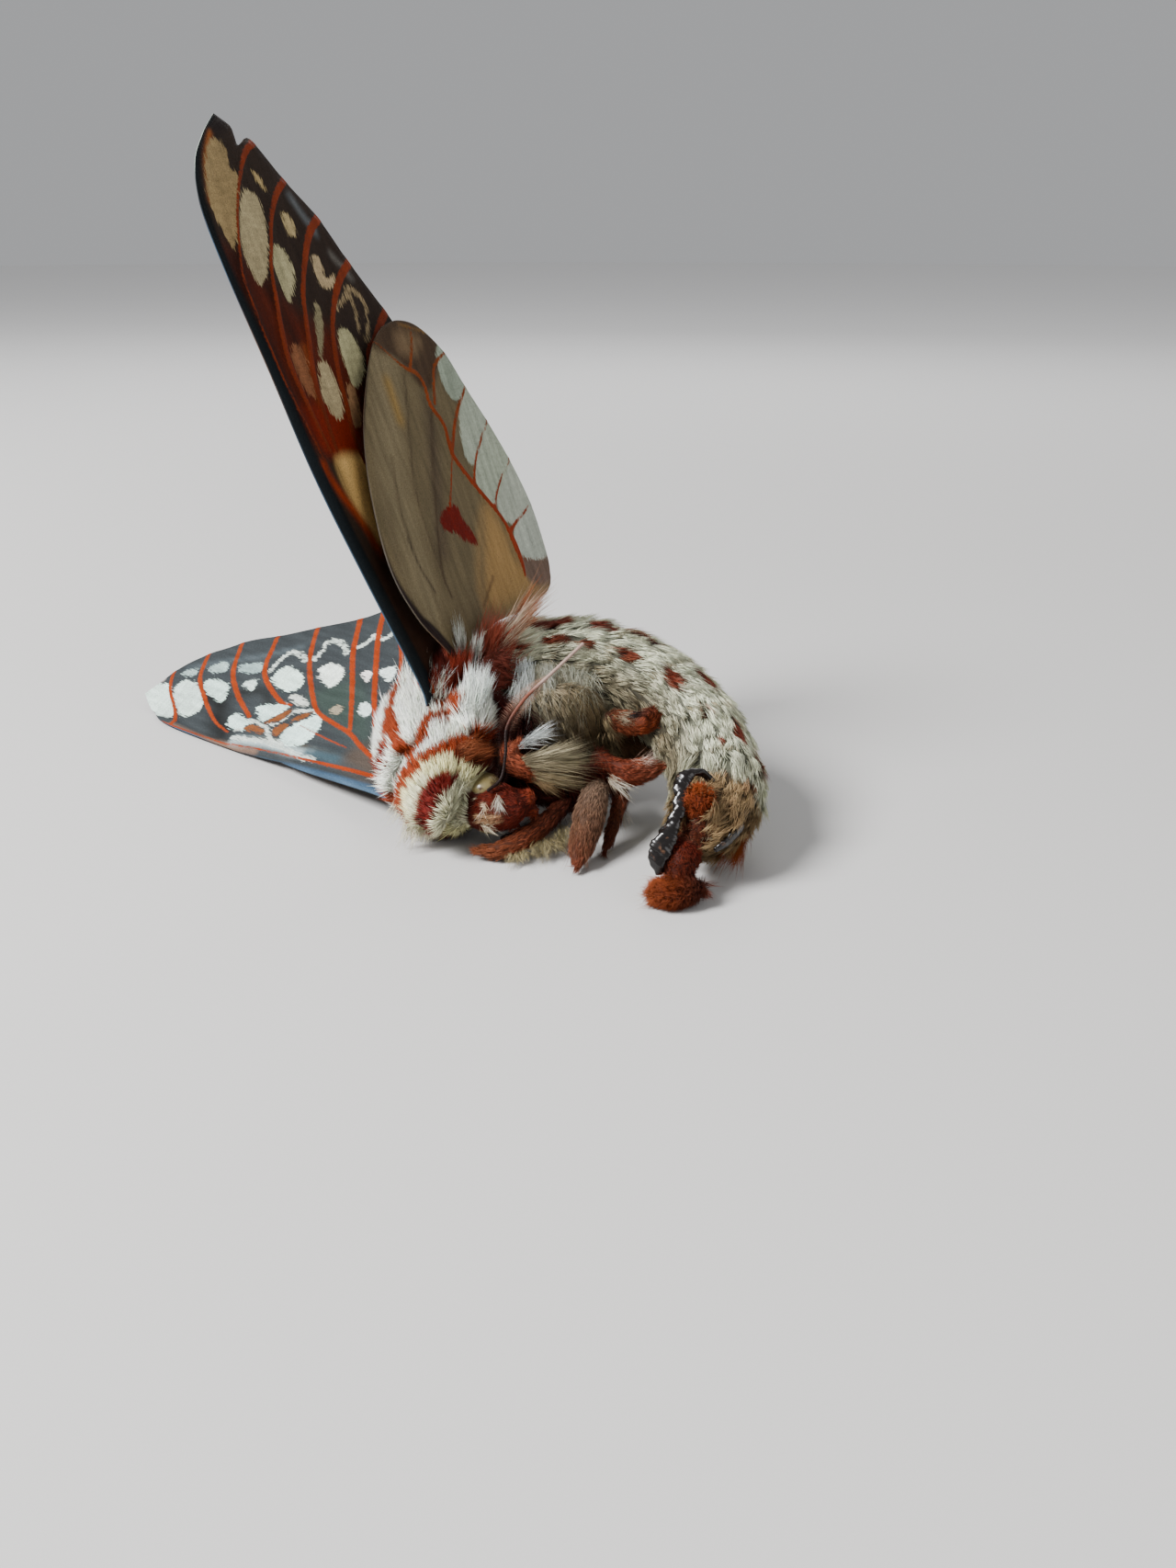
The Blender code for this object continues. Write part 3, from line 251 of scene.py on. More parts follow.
# The under face of a hindwing, measured on the left one.
HIND_UNDER = {
    "swell": 0.5,
    "ground": (104, 92, 68),
    "washes": [
        ("patch", [(0.60, 0.18), (0.35, 0.05), (0.1, 0.03), (0.1, 0.09), (0.30, 0.12), (0.48, 0.20),
        (0.56, 0.25)], 0, 2.0,
         (120, 108, 82)),
        ("line", [(0.47, 0.31), (0.33, 0.24), (0.2, 0.17)], 0.9, 1.2, (84, 72, 56)),
        ("patch", [(0.252, 0.382), (0.190, 0.436), (0.138, 0.443), (0.064, 0.535),
        (0.072, 0.254)], 0, 1.6, (156, 124, 78)),
        ("line", [(0.515, 0.184), (0.448, 0.182)], 0.5, 0.9, (140, 112, 62)),
        ("patch", [(0.590, 0.170), (0.630, 0.229), (0.640, 0.299), (0.625, 0.374), (0.580, 0.455), (0.498, 0.490),
                   (0.462, 0.424), (0.494, 0.395), (0.533, 0.402), (0.489, 0.320), (0.536, 0.266), (0.560, 0.240),
                   (0.571, 0.199)], 0, 0.5, (70, 54, 40)),
        ("patch", [(0.601, 0.265), (0.608, 0.317), (0.588, 0.361), (0.561, 0.322), (0.568, 0.261)], 0, 0.9,
         (112, 92, 68)),
        ("patch", [(0.137, 0.472), (0.122, 0.600), (0.060, 0.572), (0.070, 0.485), (0.105, 0.457)], 0, 0.6,
         (108, 88, 76)),
        ("line", [(0.13, 0.48), (0.125, 0.53), (0.12, 0.58)], 0.2, 0.4, (116, 54, 32)),
        ("line", [(0.540, 0.261), (0.342, 0.159), (0.250, 0.140), (0.143, 0.140)], 0.12, 0.3, (74, 62, 46)),
        ("line", [(0.460, 0.314), (0.329, 0.228), (0.173, 0.146), (0.115, 0.144)], 0.14, 0.3, (66, 52, 38)),
        ("line", [(0.385, 0.108), (0.297, 0.076), (0.224, 0.069)], 0.10, 0.3, (82, 70, 52)),
        ("line", [(0.240, 0.065), (0.187, 0.072), (0.133, 0.094)], 0.10, 0.2, (52, 42, 34)),
        ("line", [(0.118, 0.325), (0.073, 0.247)], 0.12, 0.3, (96, 72, 48)),
    ],
    "edge": ([(0.60, 0.185), (0.547, 0.132), (0.44, 0.045), (0.395, 0.020), (0.32, -0.012), (0.20, -0.034),
              (0.100, 0.000),
              (0.067, 0.03), (0.015, 0.066), (-0.03, 0.07)],
             [0.14, 0.16, 0.2, 0.22, 0.3, 0.7, 1.0, 1.1, 1.2, 1.2], (30, 22, 22), (58, 46, 44)),
    "patches": [
        ([(0.568, 0.440), (0.529, 0.470), (0.492, 0.478), (0.475, 0.417), (0.509, 0.398),
          (0.55, 0.41)], (150, 160, 142)),
        ([(0.487, 0.484), (0.422, 0.524), (0.352, 0.431), (0.357, 0.390), (0.431, 0.419)], (164, 172, 154)),
        ([(0.405, 0.527), (0.342, 0.565), (0.260, 0.443), (0.286, 0.407), (0.322, 0.408)], (168, 176, 156)),
        ([(0.317, 0.566), (0.238, 0.592), (0.205, 0.496), (0.246, 0.451)], (174, 180, 164)),
        ([(0.218, 0.592), (0.125, 0.592), (0.144, 0.478), (0.193, 0.496)], (176, 182, 168)),
    ],
    "drop": ([(0.275, 0.253), (0.267, 0.280), (0.242, 0.287), (0.203, 0.309), (0.188, 0.303), (0.202, 0.266),
              (0.222, 0.239), (0.232, 0.205), (0.252, 0.200), (0.268, 0.220)], (100, 20, 9)),
    "threads": ([[(0.62, 0.30), (0.60, 0.40), (0.568, 0.445), (0.488, 0.488), (0.415, 0.531), (0.325, 0.574),
               (0.225, 0.602),
                  (0.12, 0.598)]], 0.14, (112, 84, 48)),
    "veins": [
        [(0.588, 0.190, 0.10), (0.556, 0.234, 0.14), (0.536, 0.268, 0.2), (0.525, 0.30, 0.26), (0.500, 0.312, 0.28),
         (0.464, 0.309, 0.3), (0.422, 0.335, 0.3), (0.364, 0.329, 0.34), (0.298, 0.374, 0.32), (0.242, 0.423, 0.3),
         (0.205, 0.447, 0.3), (0.156, 0.458, 0.5), (0.118, 0.460, 0.34), (0.095, 0.455, 0.2)],
        [(0.495, 0.488, 0.16), (0.437, 0.397, 0.22), (0.368, 0.329, 0.26)],
        [(0.422, 0.530, 0.14), (0.350, 0.420, 0.18), (0.298, 0.372, 0.22)],
        [(0.333, 0.568, 0.12), (0.281, 0.469, 0.16), (0.245, 0.427, 0.2)],
        [(0.230, 0.598, 0.12), (0.202, 0.493, 0.2), (0.187, 0.453, 0.34)],
        [(0.605, 0.33, 0.14), (0.585, 0.320, 0.2), (0.535, 0.280, 0.22)],
        [(0.56, 0.44, 0.14), (0.534, 0.375, 0.22), (0.466, 0.327, 0.24)],
        [(0.364, 0.327, 0.16), (0.320, 0.29, 0.12), (0.272, 0.250, 0.16)],
    ],
    "vein": (118, 66, 28),
    "vein_base": (132, 46, 18),
}
HIND_UPPER = {
    **HIND_UNDER,
    "ground": (96, 90, 84),
    "edge": (HIND_UNDER["edge"][0], [0.1] * 10, (120, 92, 70), (150, 120, 92)),
    "washes": [
        ("patch", [(0.40, 0.20), (0.30, 0.36), (0.14, 0.42), (0.05, 0.36), (0.02, 0.10), (0.14, 0.03),
        (0.30, 0.06)], 0, 3.0,
         (196, 176, 140)),
        ("patch", [(0.16, 0.10), (0.12, 0.24), (0.04, 0.28), (-0.05, 0.14), (-0.05, 0.06)], 0, 2.0, (168, 78, 40)),
        *HIND_UNDER["washes"][4:7],
    ],
    "vein": (150, 60, 26),
    "vein_base": (150, 54, 22),
}


def smooth_line(stations, count):
    """The stations resampled to count rows by a Catmull-Rom spline, evenly by their order."""
    rows = np.asarray(stations, float)
    rows = np.vstack([2 * rows[0] - rows[1], rows, 2 * rows[-1] - rows[-2]])
    at = np.linspace(0, len(rows) - 3, count)
    first = np.minimum(at.astype(int), len(rows) - 4)
    t = (at - first)[:, None]
    a, b, c, d = (rows[first + k] for k in range(4))
    return 0.5 * (2 * b + (c - a) * t + (2 * a - 5 * b + 4 * c - d) * t**2 + (3 * b - a - 3 * c + d) * t**3)


def even_line(stations, count):
    """The smooth line through the stations, its rows set evenly by length: each number interpolated on the way run."""
    fine = smooth_line(stations, 12 * len(stations))
    run = np.concatenate([[0], np.cumsum(np.linalg.norm(np.diff(fine[:, :2], axis=0), axis=1))])
    at = np.linspace(0, run[-1], count)
    return np.stack([np.interp(at, run, fine[:, k]) for k in range(fine.shape[1])], axis=1)


def unit(rows):
    """Each row over its own length."""
    rows = np.asarray(rows, float)
    return rows / np.maximum(np.linalg.norm(rows, axis=-1, keepdims=True), 1e-12)


def screen(red, green, blue):
    """A colour as seen on a screen, 0 to 255, made linear by the usual power of 2.4."""
    share = np.array([red, green, blue], float) / 255
    return np.where(share <= 0.04045, share / 12.92, ((share + 0.055) / 1.055) ** 2.4)


def segment_gap(points, starts, ends, start_half, end_half):
    """The least distance from each point to a segment, less the half width at the nearest place on it."""
    ahead = ends - starts
    length = np.maximum((ahead**2).sum(axis=1), 1e-12)
    best = np.full(len(points), 1e9)
    for lot in np.array_split(np.arange(len(points)), max(1, len(points) * len(starts) // 4_000_000 + 1)):
        from_start = points[lot, None] - starts[None]
        share = np.clip((from_start * ahead).sum(axis=2) / length, 0, 1)
        off = np.linalg.norm(from_start - share[..., None] * ahead, axis=2)
        best[lot] = (off - start_half - (end_half - start_half) * share).min(axis=1)
    return best


def line_gap(points, lines):
    """Gap to the nearest of the lines, whose rows are a place and a half width. Both are made smooth first."""
    made = [smooth_line(line, 4 * len(line)) for line in lines]
    starts = np.concatenate([line[:-1] for line in made])
    ends = np.concatenate([line[1:] for line in made])
    return segment_gap(points, starts[:, :-1], ends[:, :-1], starts[:, -1], ends[:, -1])


def patch_gap(points, patch):
    """Gap to a rounded outline, negative inside it: a point is inside when a line from it crosses the outline an odd
    number of times."""
    loop = smooth_line(list(patch[-2:]) + list(patch) + list(patch[:2]), 5 * (len(patch) + 3) + 1)
    loop = loop[5 * 2 - 5 : -5]
    starts, ends = loop, np.roll(loop, -1, axis=0)
    gap = segment_gap(points, starts, ends, 0.0, 0.0)
    x, y = points[:, None, 0], points[:, None, 1]
    above = (starts[None, :, 1] > y) != (ends[None, :, 1] > y)
    rise = np.where(np.abs(ends[:, 1] - starts[:, 1]) < 1e-9, 1e-9, ends[:, 1] - starts[:, 1])
    crossing = starts[None, :, 0] + (y - starts[None, :, 1]) * (ends - starts)[None, :, 0] / rise
    inside = (above & (x < crossing)).sum(axis=1) % 2 == 1
    return np.where(inside, -gap, gap)


def blend_in(colour, gap, soft, tone):
    """The colour passed over to the tone where the gap falls below zero, over twice the soft width."""
    share = np.clip(0.5 - gap / (2 * soft), 0, 1)
    share = (share * share * (3 - 2 * share))[:, None]
    return colour * (1 - share) + screen(*tone) * share


def wing_colours(plan, look):
    """Ground colour, patch gap and colour, and vein gap and colour at each place of a wing's plan."""
    places = plan * SPAN
    ground = np.tile(screen(*look["ground"]), (len(places), 1))
    for kind, shape, half, soft, tone in look["washes"]:
        shape = np.array(shape) * SPAN
        if kind == "line":
            gap = line_gap(places, [np.column_stack([shape, np.full(len(shape), half)])])
        else:
            gap = patch_gap(places, shape)
        ground = blend_in(ground, gap, soft, tone)
    front, widths, tone, light = look["edge"]
    gap = line_gap(places, [np.column_stack([np.array(front) * SPAN, widths])])
    ground = blend_in(ground, gap, 0.25, tone)
    # A paler tone is painted along the middle of the front edge band: a painted highlight, the shine along the wing's
    # front rim.
    middle = np.clip(-gap / (np.max(widths) * 0.9), 0, 1)[:, None]
    ground = ground + (screen(*light) - ground) * middle * 0.45
    gaps = [patch_gap(places, np.array(shape) * SPAN) - look.get("swell", 0.0) for shape, _ in look["patches"]]
    tones = [screen(*tone) for _, tone in look["patches"]]
    lines, half, tone = look["threads"]
    gaps.append(line_gap(places, [np.column_stack([np.array(line) * SPAN, np.full(len(line), half)]) for line in lines]))
    tones.append(screen(*tone))
    for extra in ("bars", "drop"):
        if extra in look:
            shapes, tone = look[extra]
            shapes = shapes if extra == "bars" else [shapes]
            gap = np.min([patch_gap(places, np.array(shape) * SPAN) for shape in shapes], axis=0)
            gaps = [np.maximum(other, 0.12 - gap) for other in gaps]
            gaps.append(gap)
            tones.append(screen(*tone))
    gaps = np.array(gaps)
    nearest = gaps.argmin(axis=0)
    vein_lines = [np.array(line) * [SPAN, SPAN, 1] for line in look["veins"]]
    vein_lines = [np.vstack([line[:1] * [1.3, 1.3, 1] - line[1:2] * [0.3, 0.3, 0], line]) for line in vein_lines]
    vein = line_gap(places, vein_lines) + look.get("slim", 0.0)
    far = np.clip((plan[:, :1] - 0.25) / 0.45, 0, 1)
    vein_tone = screen(*look["vein_base"]) * (1 - far) + screen(*look["vein"]) * far
    return ground, gaps.min(axis=0), np.array(tones)[nearest], vein, vein_tone


def new_piece(name, points, faces, slot, smooth=True):
    """An object at the origin from points in the measured millimetres: shifted to the record's middle, made metres."""
    mesh = bpy.data.meshes.new(name)
    places = np.asarray(points) * 0.001 + SHIFT * 0.001
    places[:, 2] = np.maximum(places[:, 2], 0.0)
    places = np.ascontiguousarray(places, np.float32)
    faces = np.ascontiguousarray(faces, np.int32)
    sides = faces.shape[1]
    mesh.vertices.add(len(places))
    mesh.vertices.foreach_set("co", places.ravel())
    mesh.loops.add(faces.size)
    mesh.loops.foreach_set("vertex_index", faces.ravel())
    mesh.polygons.add(len(faces))
    mesh.polygons.foreach_set("loop_start", np.arange(0, faces.size, sides, dtype=np.int32))
    mesh.polygons.foreach_set("use_smooth", np.full(len(faces), smooth))
    mesh.update(calc_edges=True)
    piece = bpy.data.objects.new(name, mesh)
    bpy.context.scene.collection.objects.link(piece)
    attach(piece, "root")
    return piece


def paint(piece, name, values):
    """A colour, or a single number, kept on each vertex of the piece."""
    kind = "FLOAT_COLOR" if values.ndim == 2 else "FLOAT"
    layer = piece.data.attributes.new(name, kind, "POINT")
    if values.ndim == 2:
        values = np.column_stack([values, np.ones(len(values))])
    layer.data.foreach_set("color" if values.ndim == 2 else "value", np.ascontiguousarray(values, np.float32).ravel())


def read(material, name, number=False):
    """A socket that reads a vertex colour or number of the piece."""
    node = material.node_tree.nodes.new("ShaderNodeAttribute")
    node.attribute_name = name
    return node.outputs["Fac" if number else "Color"]


def put(material, kind, links=(), **values):
    """A node of the kind, with its settings and sockets filled; a value that is a socket is linked."""
    node = material.node_tree.nodes.new(kind)
    for key, value in values.items():
        setattr(node, key, value)
    for socket, value in links:
        if isinstance(value, bpy.types.NodeSocket):
            material.node_tree.links.new(value, node.inputs[socket])
        else:
            node.inputs[socket].default_value = value
    return node


def mixed(material, share, first, second, blend="MIX"):
    """Two colours mixed by a share."""
    node = put(material, "ShaderNodeMix", data_type="RGBA", blend_type=blend)
    for index, value in ((0, share), (6, first), (7, second)):
        if isinstance(value, bpy.types.NodeSocket):
            material.node_tree.links.new(value, node.inputs[index])
        else:
            node.inputs[index].default_value = value
    return node.outputs[2]


def finish_of(name, roughness, gloss=0.15):
    """A material and its shader, with one roughness and one gloss all over."""
    made = bpy.data.materials.new(name)
    made.use_nodes = True
    shader = made.node_tree.nodes["Principled BSDF"]
    shader.inputs["Roughness"].default_value = roughness
    shader.inputs["Specular IOR Level"].default_value = gloss
    return made, shader


def roughen(material, shader, height, strength, distance):
    """A bump of the height on the shader's normal."""
    bump = put(material, "ShaderNodeBump", [("Height", height), ("Strength", strength), ("Distance", distance)])
    material.node_tree.links.new(bump.outputs["Normal"], shader.inputs["Normal"])


def wing_finish(name, roughness, ripple):
    """Scales: the ground, the patches cut in by their gap and the veins by theirs, all with a frayed edge, under a fine
    grain that runs along the wing and a cross ripple in the patches."""
    made, shader = finish_of(name, roughness, 0.05)
    plan = put(made, "ShaderNodeUVMap", uv_map="Plan").outputs["UV"]
    along = put(made, "ShaderNodeMapping", [("Vector", plan), ("Scale", (1.0, 7.0, 1.0))]).outputs["Vector"]
    across = put(made, "ShaderNodeMapping", [("Vector", plan), ("Scale", (5.0, 1.4, 1.0))]).outputs["Vector"]
    fray = put(made, "ShaderNodeTexNoise", [("Vector", plan), ("Scale", 170.0), ("Detail", 2.0)]).outputs["Fac"]
    grain = put(made, "ShaderNodeTexNoise", [("Vector", along), ("Scale", 130.0), ("Detail", 3.0)]).outputs["Fac"]
    speck = put(made, "ShaderNodeTexNoise", [("Vector", plan), ("Scale", 420.0), ("Detail", 1.0)]).outputs["Fac"]
    wave = put(made, "ShaderNodeTexNoise", [("Vector", across), ("Scale", 22.0), ("Detail", 1.5)]).outputs["Fac"]

    streak = put(made, "ShaderNodeTexNoise", [("Vector", along), ("Scale", 46.0), ("Detail", 2.0)]).outputs["Fac"]
    mottle = put(made, "ShaderNodeTexNoise", [("Vector", along), ("Scale", 9.0), ("Detail", 3.0)]).outputs["Fac"]

    def mask(gap, soft, wander, size):
        """1 where the gap is below zero, over a soft step, the gap moved by the noise times the size."""
        moved = put(made, "ShaderNodeMath", [(0, wander), (1, size), (2, gap)], operation="MULTIPLY_ADD").outputs[0]
        limits = [("Value", moved), ("From Min", size / 2 + soft), ("From Max", size / 2 - soft)]
        return put(made, "ShaderNodeMapRange", limits, interpolation_type="SMOOTHSTEP").outputs["Result"]

    patch_share = mask(read(made, "patch_gap", True), 0.12, streak, 1.5)
    vein_share = mask(read(made, "vein_gap", True), 0.08, fray, 0.30)
    rippled = put(made, "ShaderNodeMapRange", [("Value", wave), ("From Min", 0.3), ("From Max", 0.7),
                                               ("To Min", 1 - ripple), ("To Max", 1 + 0.4 * ripple)]).outputs["Result"]
    patch = mixed(made, 1.0, read(made, "patch_tone"), rippled, "MULTIPLY")
    colour = mixed(made, patch_share, read(made, "ground"), patch)
    colour = mixed(made, vein_share, colour, read(made, "vein_tone"))
    light = put(made, "ShaderNodeMath", [(0, grain), (1, speck)], operation="ADD").outputs[0]
    light = put(made, "ShaderNodeMapRange", [("Value", light), ("From Min", 0.7), ("From Max", 1.3), ("To Min", 0.64),
                                             ("To Max", 1.32)]).outputs["Result"]
    broad = put(made, "ShaderNodeMapRange", [("Value", mottle), ("From Min", 0.3), ("From Max", 0.7), ("To Min", 0.78),
                                             ("To Max", 1.18)]).outputs["Result"]
    colour = mixed(made, 1.0, mixed(made, 1.0, colour, light, "MULTIPLY"), broad, "MULTIPLY")
    made.node_tree.links.new(colour, shader.inputs["Base Color"])
    roughen(made, shader, light, 0.35, 0.00006)
    return made


def curled(plan, amount):
    """The plan's rows moved back from the front edge: the amount times powers of how far each place is from the rear
    edge, the root and the tip."""
    share = (plan[..., 1] - plan[:1, :, 1]) / (plan[-1:, :, 1] - plan[:1, :, 1])
    fade = np.clip(plan[..., 0] / 0.4, 0, 1) ** 0.8 * np.clip((1 - plan[..., 0]) / 0.1, 0, 1) ** 0.7
    moved = plan.copy()
    moved[..., 1] += amount * fade * np.clip(1 - share, 0, 1) ** 1.3
    return moved


def wing_piece(name, lines, origin, span, chord, bend, upper_look, under_look, finish, slot, hand, lift=0.0, curl=False,
               notch=0.0, size=(96, 232)):
    """A sheet over the plan's lines, spline through them both ways, laid on a plane bent by three shares of the span,
    with a ridge along each vein on both faces; the rim joins the faces. The hand is 1 where the face along the
    plane's normal is the upper one."""
    across, along = size
    curves = np.array([even_line([(line[0][0] - 0.05, line[0][1])] + line, along) for line in lines])
    plan = smooth_line(curves.reshape(len(lines), -1), across).reshape(across, along, 2)
    if notch:
        u, v = np.linspace(0, 1, across)[:, None], np.linspace(0, 1, along)[None, :]
        bite = notch * np.exp(-(((u - 0.165) / 0.022) ** 2)) * np.clip((v - 0.93) / 0.07, 0, 1) ** 2
        plan = plan - bite[..., None] * np.array([0.8, 0.5])
    moved = curled(plan, COSTAL_CURL) if curl else plan
    upper_plan = (curled(plan, COSTAL_CURL) if upper_look is FORE_UPPER else plan).reshape(-1, 2)
    under_plan = plan.reshape(-1, 2)
    upper, under = wing_colours(upper_plan, upper_look), wing_colours(under_plan, under_look)
    span = unit(span)
    chord = unit(np.asarray(chord) - np.dot(chord, span) * span)
    normal = np.cross(span, chord)
    x, y = moved[..., 0], moved[..., 1]
    height = SPAN * (bend[0] * x * x + bend[1] * x * y + bend[2] * y * y) + lift
    middle = np.asarray(origin) + SPAN * (x[..., None] * span + y[..., None] * chord) + height[..., None] * normal
    middle[..., 2] = np.maximum(middle[..., 2], RESTING_HEIGHT)
    out = unit(np.cross(np.gradient(middle, axis=1), np.gradient(middle, axis=0))) * hand
    out = out * np.sign((out * normal).sum(axis=-1, keepdims=True) * hand)

    def ridge(gap):
        """Half the sheet's thickness: thin, and up to three times as thick by a bell curve of the gap to a vein."""
        return 0.07 + 0.13 * np.exp(-((np.maximum(gap.reshape(across, along) + 0.1, 0) / 0.22) ** 2))

    rim = np.minimum.reduce([np.arange(across)[:, None] + 0 * x, across - 1 - np.arange(across)[:, None] + 0 * x,
                             along - 1 - np.arange(along)[None] + 0 * x])
    thin = np.clip(rim / 3, 0.35, 1)
    front = 0.22 * np.exp(-np.arange(across)[:, None] / 4.0) * np.clip(1.1 - x, 0.2, 1)
    top = middle + out * ((ridge(upper[3]) + front) * thin)[..., None]
    low = middle - out * ((ridge(under[3]) + front) * thin)[..., None]
    number = np.arange(across * along).reshape(across, along)
    a, b, c, d = number[:-1, :-1].ravel(), number[1:, :-1].ravel(), number[1:, 1:].ravel(), number[:-1, 1:].ravel()
    sheet = np.concatenate([np.column_stack([a, d, c]), np.column_stack([a, c, b])])
    first, second, third = top.reshape(-1, 3)[[a[0], d[0], c[0]]]
    facing = np.cross(second - first, third - first)
    if np.dot(facing, out.reshape(-1, 3)[a[0]]) < 0:
        sheet = sheet[:, ::-1]
    count = across * along
    border = np.concatenate([number[:, 0], number[-1, 1:], number[-2::-1, -1], number[0, -2:0:-1]])
    after = np.roll(border, -1)
    walls = np.concatenate([np.column_stack([border, after, after + count]),
                            np.column_stack([border, after + count, border + count])])
    trial = np.vstack([top.reshape(-1, 3), low.reshape(-1, 3)])
    a, b, c = trial[walls[0]]
    if np.dot(np.cross(b - a, c - a), a - middle[2, 2]) < 0:
        walls = walls[:, ::-1]
    faces = np.concatenate([sheet, sheet[:, ::-1] + count, walls])
    piece = new_piece(name + "_scaled", trial, faces, slot)
    for index, key in enumerate(("ground", "patch_gap", "patch_tone", "vein_gap", "vein_tone")):
        paint(piece, key, np.concatenate([upper[index], under[index]]))
    flat = np.concatenate([upper_plan, under_plan + [0, 1.0]])
    layer = piece.data.uv_layers.new(name="Plan")
    layer.data.foreach_set("uv", flat[faces.ravel()].astype(np.float32).ravel())
    piece.data.materials.append(finish)
    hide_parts(name)
    return piece


forewing_finish = wing_finish("forewing_scales", 0.50, 0.16)
hindwing_finish = wing_finish("hindwing_scales", 0.55, 0.10)
LEFT_PLANE = ((-11.56, 0.10, 14.59), (-0.3177, 0.1682, 0.9331), (0.3742, 0.9265, -0.0396), (-0.003, 0.006, -0.003))
RIGHT_PLANE = ((-14.36, -0.57, 3.15), (-0.6566, 0.7447, -0.1193), (0.6072, 0.6159, 0.502), (-0.088, -0.057, 0.049))
RIGHT_HIND_PLANE = ((-14.6, 2.6, 3.9), (-0.440, 0.930, -0.070), (0.808, 0.526, -0.100), (0.0, 0.0, 0.0))
wing_piece("forewing_left", FOREWING_LINES, *LEFT_PLANE, FORE_UPPER, FORE_UNDER, forewing_finish, "forewing_under", 1,
           notch=0.034)
wing_piece("hindwing_left", HINDWING_LINES, *LEFT_PLANE, HIND_UPPER, HIND_UNDER, hindwing_finish, "hindwing_scales", 1,
           lift=-1.6, size=(104, 170))
wing_piece("forewing_right", FOREWING_LINES, *RIGHT_PLANE, FORE_UPPER, FORE_UNDER, forewing_finish, "forewing_upper", -1,
           curl=True)
wing_piece("hindwing_right", HINDWING_LINES, *RIGHT_HIND_PLANE, HIND_UPPER, HIND_UNDER, hindwing_finish,
           "hindwing_scales", -1, lift=0.25, size=(104, 170))


# Skin of the body: one closed hide over thorax, neck, head, underside, abdomen, legs and tail
# parts, made over smooth forms that run into each other, so that no seam shows. It carries the
# coat's colours, dimmed by a fine grain to a painted shade under the hair, most on the abdomen.
ABDOMEN_LENGTH, SEGMENTS = 41.4, 7
THORAX_CENTRE = np.array([-10.9, 2.0, 7.0])
HEAD_CENTRE = np.array([-5.0, -5.0, 4.3])
HEAD_FORE = unit([0.96, -0.27, 0.06])
HEAD_LEFT = unit(LEFT - np.dot(LEFT, HEAD_FORE) * HEAD_FORE)
HEAD_CROWN = np.cross(HEAD_FORE, HEAD_LEFT)
VIEW_UP = np.array([0.0, 0.383, 0.924])
X, Y, Z = np.eye(3)


def thorax_row(fore, width, depth, back=0.0, left=0.0):
    """A row of a form, its place given forward, back and left from the thorax's middle."""
    return (*(THORAX_CENTRE + FORE * fore + LEFT * left + BACK * back), width, depth)


def head_row(fore, crown, width, depth, left=0.0):
    """A row of a form, its place given forward, up and left from the head's middle."""
    return (*(HEAD_CENTRE + HEAD_FORE * fore + HEAD_LEFT * left + HEAD_CROWN * crown), width, depth)


